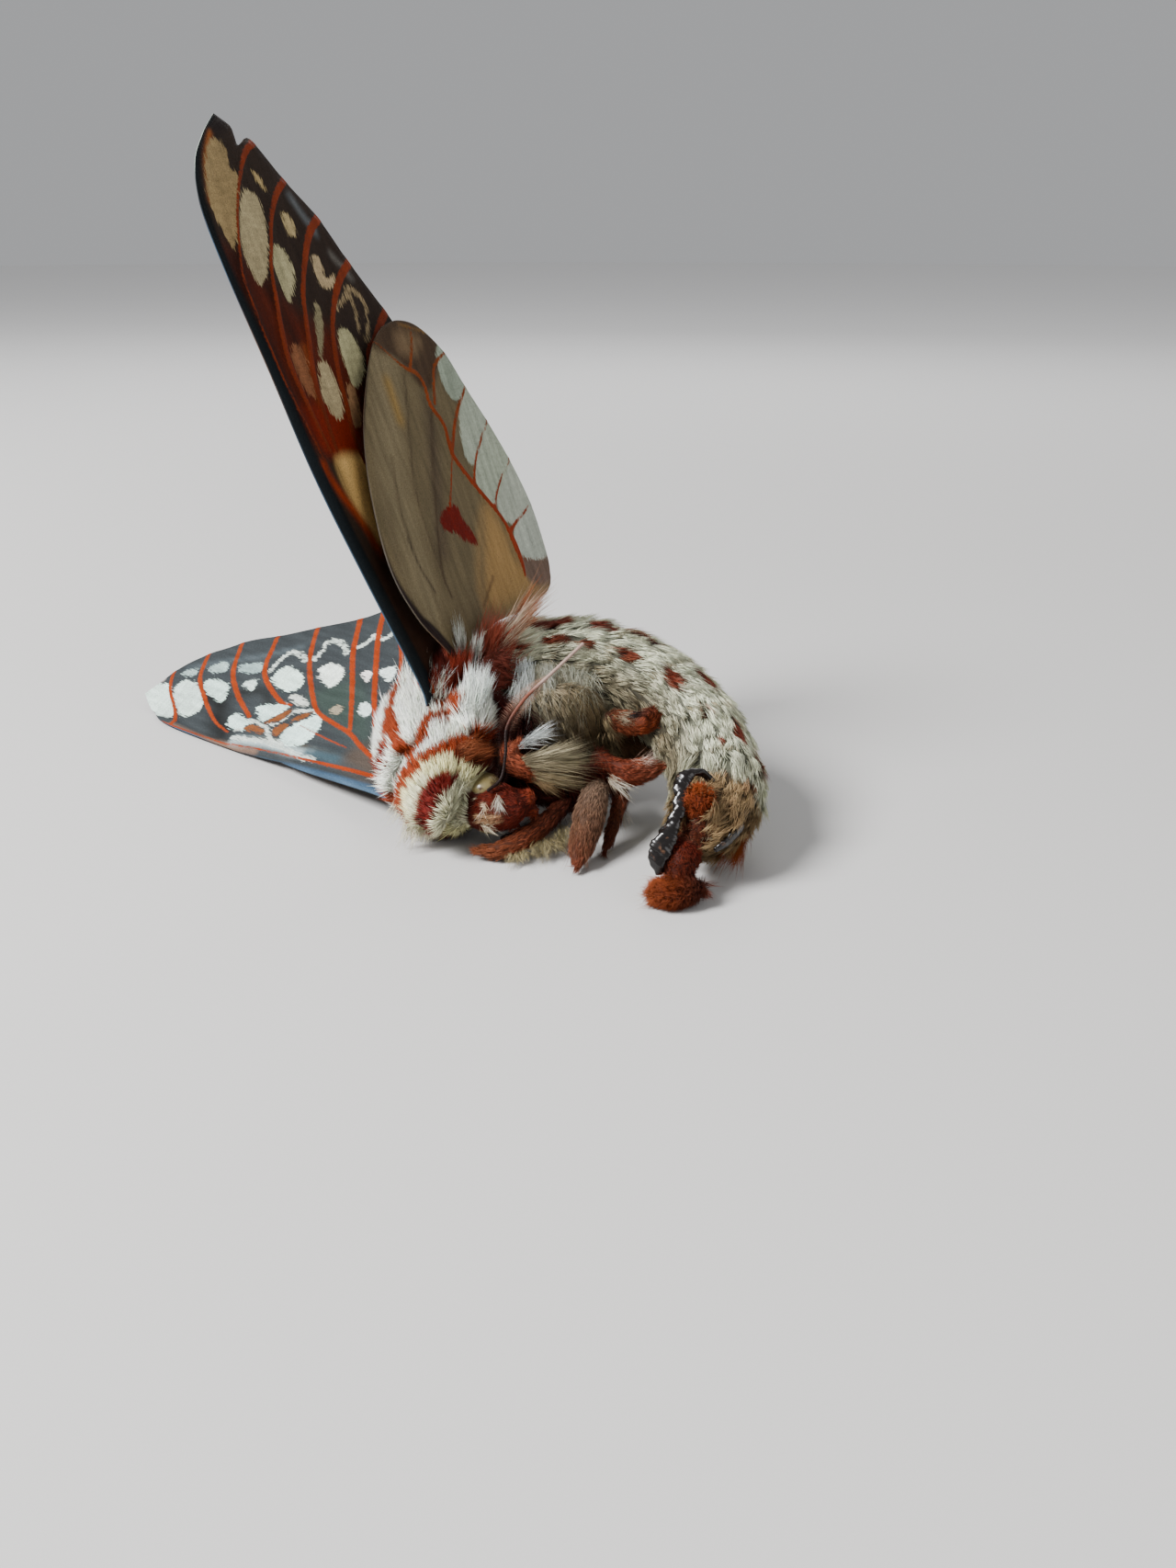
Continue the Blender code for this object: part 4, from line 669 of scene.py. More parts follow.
# Forms of the body: rows of x, y, z, half width and half depth of the outer coat; the width's way; the coat's depth
BODY = {
    "thorax": ([thorax_row(-6.6, 3.8, 3.7, -0.8), thorax_row(-5.6, 4.9, 4.7, -0.4), thorax_row(-4.0, 5.7, 5.5),
                thorax_row(-1.5, 6.1, 5.9), thorax_row(1.0, 6.2, 5.9), thorax_row(3.0, 6.1, 5.8, -0.3),
                thorax_row(4.8, 5.9, 5.4, -0.5), thorax_row(6.0, 5.7, 5.0, -0.1), thorax_row(7.2, 5.1, 3.8, 0.5),
                thorax_row(8.3, 4.2, 2.8, 0.5, -0.3), thorax_row(9.2, 3.2, 2.0, 0.1, -0.9),
                thorax_row(10.0, 2.0, 1.1, 0.0, -1.5)], LEFT, 1.0),
    "shoulder": ([thorax_row(-1.5, 1.6, 1.8, -1.8, 4.6), thorax_row(0.2, 2.2, 2.4, -2.0, 5.4),
                  thorax_row(1.8, 2.4, 2.6, -2.1, 5.7), thorax_row(3.4, 2.2, 2.4, -2.2, 5.0),
                  thorax_row(4.6, 1.3, 1.6, -2.2, 4.2)], LEFT, 1.0),
    "wing_base_fore": ([(-11.2, 2.4, 9.0, 2.6, 3.4), (-10.6, 2.6, 11.6, 2.4, 3.2), (-10.2, 2.9, 13.6, 1.9, 2.6),
                        (-10.2, 3.2, 14.9, 1.1, 1.6)], BACK, 0.75),
    "wing_base_hind": ([(-9.4, 5.0, 9.0, 2.6, 3.4), (-8.9, 5.2, 11.8, 2.3, 3.2), (-8.7, 5.4, 14.0, 1.7, 2.6),
                        (-8.7, 5.5, 15.4, 1.0, 1.6)], BACK, 0.75),
    "wing_base_right": ([(-11.6, 2.2, 5.0, 2.2, 2.6), (-12.9, 1.8, 3.7, 1.7, 2.1),
                         (-14.0, 1.5, 3.0, 1.2, 1.6)], Y, 0.7),
    "head": ([head_row(-2.4, 0.1, 1.6, 1.7), head_row(-1.8, 0.05, 2.1, 2.2), head_row(-0.6, 0, 2.5, 2.6),
              head_row(0.8, 0, 2.4, 2.5), head_row(2.0, -0.1, 1.9, 2.1), head_row(2.8, -0.2, 1.2, 1.5),
              head_row(3.2, -0.3, 0.5, 0.7)], HEAD_LEFT, 0.35),
    "palp_left": ([head_row(1.6, -1.0, 0.5, 0.5, 0.6), head_row(2.8, -0.9, 0.75, 0.8, 0.65),
                   head_row(3.6, -0.75, 0.6, 0.6, 0.6), head_row(4.0, -0.7, 0.3, 0.3, 0.55)], HEAD_LEFT, 0.15),
    "palp_right": ([head_row(1.6, -1.0, 0.5, 0.5, -0.6), head_row(2.8, -0.9, 0.75, 0.8, -0.65),
                    head_row(3.6, -0.75, 0.6, 0.6, -0.6), head_row(4.0, -0.7, 0.3, 0.3, -0.55)], HEAD_LEFT, 0.15),
    "belly": ([(-5.6, 4.0, 6.0, 2.8, 2.4), (-3.6, 4.2, 6.6, 3.4, 2.6), (-0.9, 4.0, 7.9, 5.2, 3.1),
               (2.0, 4.0, 8.5, 5.4, 3.2), (3.8, 4.0, 8.4, 3.9, 2.4), (4.7, 4.0, 8.2, 1.8, 1.2)], LEFT, 0.9),
    "chest": ([(-3.6, 0.2, 5.6, 1.9, 1.7), (-1.5, -0.6, 5.0, 2.0, 1.9), (1.5, -0.4, 4.7, 2.0, 1.8),
               (4.2, 0.2, 4.9, 1.6, 1.5)], LEFT, 0.3),
    "flank": ([(3.8, 4.4, 7.6, 1.4, 1.2), (6.4, 4.2, 7.2, 1.5, 1.2), (9.0, 3.4, 7.4, 1.4, 1.2),
               (10.8, 2.2, 8.0, 1.0, 1.0)], VIEW_UP, 0.3),
    "abdomen": ([(-9.6, 10.4, 9.2, 4.6, 4.6), (-7.2, 11.9, 10.3, 4.8, 4.6), (-3.3, 12.6, 11.6, 4.8, 4.6),
                 (0.9, 12.0, 12.3, 4.7, 4.6), (5.3, 10.4, 12.2, 4.6, 4.5), (9.3, 7.6, 11.2, 4.6, 4.5),
                 (12.5, 3.9, 9.4, 4.6, 4.5), (14.5, -0.7, 7.2, 4.6, 4.5), (14.8, -5.8, 5.4, 4.6, 4.3),
                 (13.7, -9.6, 5.0, 3.9, 3.5)], LEFT, 0.42),
    "waist": ([(-10.2, 7.0, 8.2, 3.9, 3.8), (-9.8, 9.2, 8.8, 4.2, 4.2), (-9.0, 11.0, 9.5, 4.4, 4.4)], LEFT, 0.6),
    "foreleg_left": ([(3.6, 1.0, 5.0, 0.9, 0.9), (1.0, -0.8, 5.2, 1.1, 1.0), (-2.2, -2.2, 6.8, 1.3, 1.1),
                      (-3.6, -2.2, 7.9, 1.2, 1.0), (-3.0, -1.9, 8.8, 0.8, 0.8)], VIEW_UP, 0.30),
    "midleg_left": ([(4.3, 1.4, 6.6, 1.0, 1.0), (5.6, -0.6, 6.4, 1.2, 1.1), (7.2, -1.6, 6.2, 1.5, 1.2),
                     (9.0, -1.8, 6.6, 1.3, 1.0), (10.2, -1.9, 6.9, 0.5, 0.5)], VIEW_UP, 0.30),
    "hindleg_left": ([(4.6, 3.2, 9.6, 1.0, 0.9), (6.2, 2.0, 9.9, 1.3, 1.1), (8.0, 1.4, 9.8, 1.3, 1.1),
                      (9.3, 0.8, 10.6, 1.1, 1.0), (9.1, 0.2, 11.3, 0.8, 0.7),
                      (7.7, -0.4, 11.2, 0.45, 0.45)], VIEW_UP, 0.28),
    "foreleg_right": ([(2.6, 0.4, 3.3, 0.9, 0.9), (0.8, -3.4, 3.2, 1.1, 0.9), (-1.5, -6.0, 2.1, 1.25, 0.9),
                       (-4.0, -7.3, 1.2, 1.1, 0.9), (-6.2, -7.3, 1.0, 0.7, 0.7)], VIEW_UP, 0.28),
    "midleg_right": ([(4.4, 0.4, 4.0, 1.0, 1.0), (4.2, -2.6, 4.8, 1.4, 1.2), (3.6, -5.4, 3.6, 1.7, 1.4),
                      (2.9, -8.0, 1.8, 1.4, 1.2), (2.5, -9.8, 0.7, 0.7, 0.6)], X, 0.30),
    "hindleg_right": ([(5.9, 1.6, 4.6, 0.8, 0.8), (6.4, -1.2, 3.8, 0.9, 0.9), (6.0, -3.6, 2.8, 0.8, 0.8),
                       (5.3, -5.7, 1.4, 0.7, 0.7), (4.9, -6.8, 0.6, 0.4, 0.4)], X, 0.2),
    "tail": ([(13.6, -9.2, 5.0, 3.2, 2.9), (13.4, -10.4, 5.1, 2.9, 2.7), (13.0, -11.4, 5.2, 2.4, 2.4),
              (12.6, -12.4, 5.2, 1.5, 1.6)], X, 0.3),
    "tail_knob": ([(12.9, -10.6, 7.2, 1.0, 1.0), (12.8, -11.4, 7.5, 1.45, 1.45), (12.7, -12.4, 7.6, 1.2, 1.2),
                   (12.6, -13.1, 7.6, 0.5, 0.5)], Z, 0.2),
    "tail_lobe": ([(12.3, -12.0, 4.6, 0.9, 1.0), (11.6, -13.2, 3.8, 1.6, 1.5), (11.0, -14.4, 2.8, 1.7, 1.5),
                   (10.7, -15.3, 2.0, 1.0, 0.9)], Y, 0.2),
    "tail_low": ([(13.0, -15.0, 1.7, 0.5, 0.5), (12.2, -15.6, 1.4, 1.1, 1.0), (10.6, -16.0, 1.25, 1.5, 1.2),
                  (9.2, -15.8, 1.2, 1.2, 1.1), (8.6, -15.6, 1.2, 0.5, 0.5)], Y, 0.2),
}


def rings_along(rows, side, count, sides, inset=0.0):
    """Elliptic rings square to the smooth line through the rows, each half size less the inset; round caps close it."""
    rows = smooth_line(rows, count)
    ahead = unit(np.gradient(rows[:, :3], axis=0))
    across = unit(side - (ahead @ side)[:, None] * ahead)
    other = np.cross(ahead, across)
    turn = np.linspace(0, 2 * np.pi, sides, endpoint=False)
    wide = np.maximum(rows[:, 3] - inset, 0.15)[:, None, None]
    deep = np.maximum(rows[:, 4] - inset, 0.15)[:, None, None]
    rings = rows[:, None, :3] + np.cos(turn)[None, :, None] * wide * across[:, None]
    rings = rings + np.sin(turn)[None, :, None] * deep * other[:, None]
    caps = []
    for ring, way in ((rings[0], -ahead[0]), (rings[-1], ahead[-1])):
        middle = ring.mean(axis=0)
        reach = 0.7 * np.linalg.norm(ring - middle, axis=1).min()
        lift = np.array([0.35, 0.65, 0.88, 0.98])
        caps.append([middle + (ring - middle) * np.sqrt(1 - s * s) + way * s * reach for s in lift])
    return np.concatenate([np.array(caps[0])[::-1], rings, np.array(caps[1])])


def tube_faces(count, sides):
    """Triangles between each ring and the next, and a fan from a middle point over each end ring."""
    ring, step = np.meshgrid(np.arange(count - 1), np.arange(sides), indexing="ij")
    a = (ring * sides + step).ravel()
    b = (ring * sides + (step + 1) % sides).ravel()
    k = np.arange(sides)
    last = (count - 1) * sides
    return np.concatenate([
        np.column_stack([a, b, b + sides]), np.column_stack([a, b + sides, a + sides]),
        np.column_stack([np.full(sides, count * sides), (k + 1) % sides, k]),
        np.column_stack([np.full(sides, count * sides + 1), last + k, last + (k + 1) % sides]),
    ])


def tube(rings):
    """Points and triangles of a closed tube through the rings."""
    points = np.vstack([rings.reshape(-1, 3), rings[0].mean(axis=0), rings[-1].mean(axis=0)])
    return points, tube_faces(len(rings), rings.shape[1])


def joined(parts):
    """Several point and face arrays as one, the faces' numbers moved on by the points before them."""
    starts = np.cumsum([0] + [len(points) for points, _ in parts])
    return np.vstack([points for points, _ in parts]), np.vstack([faces + n for (_, faces), n in zip(parts, starts)])


# Axis rows of all forms, for telling which form a place on the skin belongs to and which way its coat lies
axis_parts = []
for number, (rows, side, depth) in enumerate(BODY.values()):
    fine = even_line(rows, 60 if len(rows) > 8 else 24)
    run = np.concatenate([[0], np.cumsum(np.linalg.norm(np.diff(fine[:, :3], axis=0), axis=1))])
    ahead = unit(np.gradient(fine[:, :3], axis=0))
    across = unit(side - (ahead @ side)[:, None] * ahead)
    axis_parts.append(np.column_stack([fine, ahead, across, np.cross(ahead, across), np.full(len(fine), number),
                                       run / run[-1], np.full(len(fine), run[-1])]))
AXIS = np.concatenate(axis_parts)
FORMS = list(BODY)


def nearest_row(points, names=FORMS):
    """For each point, the axis row whose ellipsoid, as wide and deep as the form there, has its surface nearest."""
    nearest = np.empty(len(points), int)
    rows = np.flatnonzero(np.isin(AXIS[:, 14], [FORMS.index(name) for name in names]))
    axis = AXIS[rows]
    thin = np.minimum(axis[:, 3], axis[:, 4])
    for lot in np.array_split(np.arange(len(points)), len(points) // 4000 + 1):
        off = points[lot, None] - axis[None, :, :3]
        wide = (off * axis[:, 8:11]).sum(axis=2) / axis[:, 3]
        deep = (off * axis[:, 11:14]).sum(axis=2) / axis[:, 4]
        lengthwise = (off * axis[:, 5:8]).sum(axis=2) / thin
        nearest[lot] = rows[((np.sqrt(wide**2 + deep**2 + lengthwise**2) - 1) * thin).argmin(axis=1)]
    return nearest


def place_of(points, row):
    """The form's number, the share along it, the angle round it from its second side, its direction, and the point moved
    out from the axis to the form's outer face."""
    axis = AXIS[row]
    off = points - axis[:, :3]
    wide, deep, lengthwise = ((off * axis[:, k : k + 3]).sum(axis=1) for k in (8, 11, 5))
    thin = np.minimum(axis[:, 3], axis[:, 4])
    reach = np.sqrt((wide / axis[:, 3]) ** 2 + (deep / axis[:, 4]) ** 2 + (lengthwise / thin) ** 2)
    outer = axis[:, :3] + off / np.maximum(reach, 0.25)[:, None]
    return axis[:, 14].astype(int), axis[:, 15] + lengthwise / axis[:, 16], np.arctan2(wide, deep), axis[:, 5:8], outer


# Markings of the thorax and neck, the same on both sides: millimetres forward, left and back from the thorax's middle,
# and the half width
WHITE, CREAM, IVORY = (240, 246, 230), (222, 216, 164), (206, 204, 172)
RUST, MAROON, BROWN = (134, 52, 22), (96, 20, 12), (92, 34, 14)
BANDS = [
    (RUST, [(-6.2, 4.4, 3.4, 0.4), (-5.4, 3.1, 4.0, 0.5), (-3.6, 3.0, 4.4, 0.5), (-1.9, 2.8, 4.7, 0.5),
            (0.1, 2.4, 5.1, 0.5), (1.9, 2.2, 5.3, 0.4), (2.9, 1.0, 5.4, 0.4), (3.3, -0.6, 5.3, 0.5)]),
    (RUST, [(-0.8, 3.0, 5.0, 0.5), (0.8, 3.2, 4.9, 0.6), (2.2, 3.2, 4.7, 0.65), (3.6, 2.9, 4.3, 0.7),
            (4.8, 3.2, 3.9, 0.5)]),
    (RUST, [(4.8, 3.2, 3.9, 0.4), (4.9, 4.0, 3.4, 0.35), (4.1, 4.7, 2.4, 0.35), (2.6, 5.6, 1.6, 0.45),
            (2.6, 6.7, 0.6, 0.6), (2.1, 7.8, -0.7, 0.4)]),
    (RUST, [(-1.0, 6.5, 2.2, 0.22), (0.0, 6.7, 1.5, 0.5), (1.2, 7.2, 0.6, 0.55), (2.1, 7.8, -0.7, 0.3)]),
    (RUST, [(4.4, 4.4, -4.4, 0.9), (4.3, 5.5, -3.1, 0.9), (5.8, 5.7, -0.9, 0.85), (6.5, 5.1, 0.8, 0.7),
            (6.8, 4.4, 2.1, 0.65), (6.6, 3.4, 3.3, 0.6), (6.6, 2.0, 4.1, 0.75), (6.8, 0.2, 4.4, 0.95),
            (7.2, -1.5, 4.0, 0.8), (7.6, -3.2, 3.8, 0.6)]),
    (BROWN, [(7.1, 6.0, -1.5, 0.8), (7.2, 5.9, -2.8, 0.9), (5.8, 4.6, -4.1, 0.9)]),
    (MAROON, [(2.0, 1.0, 5.6, 0.35), (2.9, 0.4, 5.5, 0.55), (3.3, 1.4, 5.2, 0.35)]),
    (MAROON, [(8.6, 3.6, -0.6, 0.3), (8.9, 3.0, 0.0, 0.6), (9.0, 2.4, 0.8, 0.7), (9.4, 0.4, 1.3, 0.8),
              (9.4, -1.5, 1.4, 0.75), (10.0, -3.0, 1.3, 0.5)]),
    (RUST, [(6.3, -0.7, 4.9, 0.4), (6.7, -2.9, 4.5, 0.55), (8.0, -4.4, 3.9, 0.5)]),
]

BAND_SWELL = 0.18
band_lines = []
for band_tone, band in BANDS:
    line = smooth_line(band, 4 * len(band))
    for hand in (1, -1):
        places = THORAX_CENTRE + line[:, :1] * FORE + hand * line[:, 1:2] * LEFT + line[:, 2:3] * BACK
        on_coat = place_of(places, nearest_row(places, ("thorax", "shoulder")))[4]
        band_lines.append((band_tone, np.column_stack([on_coat, line[:, 3] + BAND_SWELL])))

# Spots of the abdomen: share of its length, degrees from its inner side towards its left, half sizes in millimetres
SPOTS = [
    (0.12, 96, 2.0, 0.9), (0.272, 88, 2.1, 0.9), (0.380, 95, 1.5, 1.0), (0.475, 103, 2.0, 1.1), (0.628, 109, 1.9, 1.0),
    (0.790, 108, 1.8, 0.9), (0.862, 134, 1.3, 0.8), (0.955, 122, 1.0, 0.9), (0.20, 58, 1.2, 0.4), (0.290, 57, 1.4, 0.4),
    (0.377, 53, 1.0, 0.5), (0.477, 55, 1.4, 0.65), (0.602, 63, 1.5, 0.75), (0.722, 71, 1.0, 0.5), (0.836, 80, 0.6, 0.4),
    (0.965, 87, 0.7, 0.5), (0.14, 178, 1.4, 1.3), (0.285, 178, 1.5, 1.3), (0.43, 178, 1.5, 1.3), (0.57, 178, 1.5, 1.3),
    (0.71, 178, 1.4, 1.2), (0.85, 178, 1.2, 1.1),
]
LIMB_TONES = {
    "chest": [(40, 10, 5), (58, 14, 7), (64, 18, 9), (70, 24, 12)],
    "flank": [(96, 70, 46), (84, 58, 36), (72, 48, 30)],
    "foreleg_left": [(76, 28, 15), (96, 42, 23), (142, 68, 42), (160, 84, 58)],
    "midleg_left": [(72, 26, 13), (108, 46, 27), (130, 62, 40), (142, 80, 58)],
    "hindleg_left": [(76, 30, 14), (96, 52, 32), (134, 68, 42), (140, 64, 34), (112, 50, 26), (36, 28, 26)],
    "foreleg_right": [(54, 18, 10), (80, 34, 19), (104, 49, 27), (124, 68, 42)],
    "midleg_right": [(76, 38, 24), (124, 100, 82), (118, 84, 64), (120, 64, 44)],
    "hindleg_right": [(70, 30, 18), (106, 50, 32), (100, 54, 34), (94, 44, 26)],
    "palp_left": [(66, 14, 8), (90, 28, 13), (116, 42, 20), (124, 50, 26)],
    "palp_right": [(66, 14, 8), (90, 28, 13), (116, 42, 20), (124, 50, 26)],
    "tail": [(176, 164, 128), (120, 84, 54), (140, 122, 98), (96, 44, 24)],
    "tail_knob": [(108, 46, 20), (136, 60, 24), (146, 68, 30), (126, 54, 26)],
    "tail_lobe": [(120, 100, 80), (104, 32, 15), (98, 36, 18), (90, 34, 16)],
    "tail_low": [(54, 22, 14), (84, 36, 18), (112, 48, 20), (124, 58, 28)],
    "wing_base_fore": [(240, 240, 222), (232, 228, 206), (130, 48, 28), (84, 24, 14)],
    "wing_base_hind": [(120, 44, 28), (140, 60, 42), (130, 54, 38), (110, 44, 28)],
    "wing_base_right": [(222, 218, 200), (190, 110, 80), (150, 64, 34), (130, 56, 30)],
}
SEED = np.random.default_rng(7)
WAVES = SEED.normal(size=(5, 3)) * 1.1
PHASES = SEED.uniform(0, 6.3, 5)


def ragged(points, size):
    """A slow wander from -1 to 1: the mean of five sine waves in different directions, one size long."""
    return np.sin(points @ WAVES.T / size + PHASES).mean(axis=1)


def body_tone(points, forms, share, angle):
    """The coat's colour at a place on the outer face: the form's own ground, then bands and spots by their distance, with
    ragged edges."""
    tone = np.tile(screen(150, 132, 104), (len(points), 1))
    off = points - THORAX_CENTRE
    name = np.array(FORMS)[forms]
    trunk = np.isin(name, ("thorax", "shoulder", "waist"))
    if trunk.any():
        signed = np.column_stack([off @ FORE, off @ LEFT, off @ BACK])[trunk]
        at = np.column_stack([signed[:, 0], np.abs(signed[:, 1]), signed[:, 2]])
        fore = at[:, 0] + 0.3 * ragged(at, 0.8)
        made = np.tile(screen(*WHITE), (len(at), 1))
        made = blend_in(made, 6.7 - fore, 0.3, CREAM)
        made = blend_in(made, 8.9 - fore, 0.3, IVORY)
        made = blend_in(made, (at[:, 2] + 4.4), 0.7, (84, 36, 20))
        for band_tone, line in band_lines:
            gap = segment_gap(points[trunk], line[:-1, :3], line[1:, :3], line[:-1, 3], line[1:, 3])
            made = blend_in(made, gap + 0.16 * ragged(at, 0.35), 0.12, band_tone)
        q = points[trunk] - HEAD_CENTRE
        ahead = q @ HEAD_FORE
        beside = np.linalg.norm(q - ahead[:, None] * HEAD_FORE, axis=1)
        made = blend_in(made, np.maximum(-ahead - 1.9, beside - 2.7), 0.2, (92, 28, 14))
        tone[trunk] = made
    belly = name == "belly"
    to_right = np.clip((points[belly, :1] + 3.5) / 7.0, 0, 1)
    tone[belly] = screen(168, 158, 132) * (1 - to_right) + screen(122, 106, 78) * to_right
    head = name == "head"
    if head.any():
        q = points[head] - HEAD_CENTRE
        at = np.column_stack([q @ HEAD_FORE, np.abs(q @ HEAD_LEFT), q @ HEAD_CROWN])
        made = np.tile(screen(92, 27, 12), (len(at), 1))
        made = blend_in(made, line_gap(at, [[(-0.2, 1.6, 2.0, 0.12), (0.1, 1.0, 2.3, 0.16)]]), 0.12, (226, 200, 164))
        made = blend_in(made, line_gap(at, [[(-0.8, 0.3, 2.5, 0.25), (0.4, 0.3, 2.4, 0.3), (1.4, 0.3, 2.2, 0.2)]]), 0.25,
                        (176, 140, 104))
        made = blend_in(made, line_gap(at, [[(-2.4, 0, 0, 2.0), (-1.6, 0, 1.4, 0.8)]]), 0.4, (116, 44, 20))
        tone[head] = made
    rear = name == "abdomen"
    if rear.any():
        along, turn = share[rear], np.degrees(angle[rear])
        made = np.tile(screen(220, 222, 194), (rear.sum(), 1))
        ring = np.abs(((along * SEGMENTS + 0.5 + 0.03 * ragged(points[rear], 0.9)) % 1) - 0.5) / SEGMENTS
        made = blend_in(made, ring * ABDOMEN_LENGTH - 0.12, 0.20, (120, 104, 74))
        wander = 0.22 * ragged(points[rear], 0.45)
        for place, at_turn, half_long, half_wide in SPOTS:
            for sign in (1, -1):
                miss = (turn - sign * at_turn + 180) % 360 - 180
                gap = np.hypot((along - place) * ABDOMEN_LENGTH / half_long, np.radians(miss) * 4.5 / half_wide) - 1
                made = blend_in(made, gap * min(half_long, half_wide) + wander, 0.16, (112, 48, 32))
        made = blend_in(made, (0.945 - along) * ABDOMEN_LENGTH + 0.8 * ragged(points[rear], 0.6), 1.0, (156, 130, 94))
        under = np.clip(1.25 - np.abs(turn) / 48, 0, 1)[:, None]
        made = made * (1 - 0.8 * under) + screen(116, 98, 68) * 0.8 * under
        tone[rear] = made
    for form, tones in LIMB_TONES.items():
        here = name == form
        if here.any():
            stops = np.array([screen(*one) for one in tones])
            at = np.linspace(0, 1, len(stops))
            tone[here] = np.column_stack([np.interp(share[here], at, stops[:, k]) for k in range(3)])
    return tone * (1 + 0.08 * ragged(points, 1.6))[:, None]


def skin_rings(form, rows, side, depth):
    """The rings of a form's skin; the abdomen's swell towards the rear edge of each of its seven segments."""
    rings = rings_along(rows, side, 12 * len(rows) if form == "abdomen" else 6 * len(rows), 40, depth)
    if form == "abdomen":
        middle = rings.mean(axis=1, keepdims=True)
        step = (np.linspace(0, SEGMENTS, len(rings)) % 1)[:, None, None]
        rings = middle + (rings - middle) * (0.97 + 0.05 * step**1.5)
    return rings


skin_parts = [tube(skin_rings(form, *BODY[form])) for form in BODY]
skin = new_piece("body_skin", *joined(skin_parts), "thorax_hair")
fuser = skin.modifiers.new("one_hide", "REMESH")
fuser.mode = "VOXEL"
fuser.voxel_size = 0.00026
softer = skin.modifiers.new("softer", "SMOOTH")
softer.factor, softer.iterations = 0.5, 4
graph = bpy.context.evaluated_depsgraph_get()
hide = bpy.data.meshes.new_from_object(skin.evaluated_get(graph))
skin.modifiers.clear()
skin.data = hide
hide.polygons.foreach_set("use_smooth", np.ones(len(hide.polygons), bool))
skin_points = np.empty(len(hide.vertices) * 3, np.float32)
hide.vertices.foreach_get("co", skin_points)
skin_points = skin_points.reshape(-1, 3).astype(float) * 1000 - SHIFT
skin_points[:, 2] = np.maximum(skin_points[:, 2], 0.0)
hide.vertices.foreach_set("co", ((skin_points + SHIFT) * 0.001).astype(np.float32).ravel())
hide.update()
skin_normals = np.empty(len(hide.vertices) * 3, np.float32)
hide.vertices.foreach_get("normal", skin_normals)
skin_normals = skin_normals.reshape(-1, 3).astype(float)
forms, share, angle, ahead, outer = place_of(skin_points, nearest_row(skin_points))
# The abdomen's skin is dimmed further, to 0.4: painted shade in the gaps between its scale tufts.
dark = np.where(forms == FORMS.index("abdomen"), 0.4, 1.0)[:, None]
paint(skin, "tone", body_tone(outer, forms, share, angle) * dark)


def speckle(material, shader, scale, detail, low, high):
    """The painted tone times a noise stretched from the low to the high share; gives the noise back."""
    place = put(material, "ShaderNodeTexCoord").outputs["Object"]
    grain = put(material, "ShaderNodeTexNoise", [("Vector", place), ("Scale", scale), ("Detail", detail)]).outputs["Fac"]
    dim = put(material, "ShaderNodeMapRange", [("Value", grain), ("To Min", low), ("To Max", high)]).outputs["Result"]
    shade = mixed(material, 1.0, read(material, "tone"), dim, "MULTIPLY")
    material.node_tree.links.new(shade, shader.inputs["Base Color"])
    return grain


skin_finish, shader = finish_of("body_hide", 0.7)
hide.materials.append(skin_finish)
# The skin's tone is dimmed to 0.16 to 0.46 by a fine grain: painted shade under the coat.
roughen(skin_finish, shader, speckle(skin_finish, shader, 5200.0, 3.0, 0.16, 0.46), 0.5, 0.00008)
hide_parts("thorax", "collar", "head", "belly", *[f"abdomen_{n}" for n in range(1, 8)], "foreleg_left",
            "midleg_left", "hindleg_left", "foreleg_right", "midleg_right", "hindleg_right", "abdomen_tip")


# Coat: thin tapered locks of hair and narrow scales rooted in the skin, each a closed three-sided
# spike that lies back along the body, painted darker at its root as shade within the coat and paler to
# its tip. They are joined in pieces by region. The second map gives each lock a small patch at its root's
# place on the skin's own unrolled form.
ROOT_DEPTH = 0.10  # a lock starts this far under the skin
MOST_LOCKS = 18000  # in one piece
PATCH = 0.003  # a lock's share of the second map, on each side


def lock_mesh(roots, normals, flow, length, width, flat, lift, curl, lean=0.0):
    """Points and faces of locks: two rings of three corners and a tip on a curve that leaves the root at the lift angle
    from the lie of the coat, bends back towards it, and leans over to its tuft."""
    flow = unit(flow - (flow * normals).sum(axis=1, keepdims=True) * normals * 0.9)
    ahead = unit(flow * np.cos(lift)[:, None] + normals * np.sin(lift)[:, None])
    side = unit(np.cross(ahead, normals))
    other = np.cross(ahead, side)
    long = length[:, None]
    bend = (flow * 0.20 - normals * 0.16 + side * curl[:, None]) * long + lean
    points = []
    for t, swell in ((0.0, 0.8), (0.52, 1.0)):
        centre = roots - normals * ROOT_DEPTH + ahead * long * t + bend * t * t
        for turn in (0.0, 2.094, 4.189):
            spread = side * np.cos(turn) + other * np.sin(turn) * flat
            points.append(centre + spread * (width * swell)[:, None])
    points.append(roots - normals * ROOT_DEPTH + ahead * long + bend)
    points = np.stack(points, axis=1)
    k = np.arange(3)
    after = (k + 1) % 3
    one = np.concatenate([np.column_stack([k, after, after + 3]), np.column_stack([k, after + 3, k + 3]),
                          np.column_stack([3 + k, 3 + after, np.full(3, 6)]), [[0, 2, 1]]])
    faces = (one[None] + 7 * np.arange(len(roots))[:, None, None]).reshape(-1, 3)
    return points.reshape(-1, 3), faces


coat_finish, shader = finish_of("coat_hair", 0.6)
speckle(coat_finish, shader, 9000.0, 2.0, 0.80, 1.2)


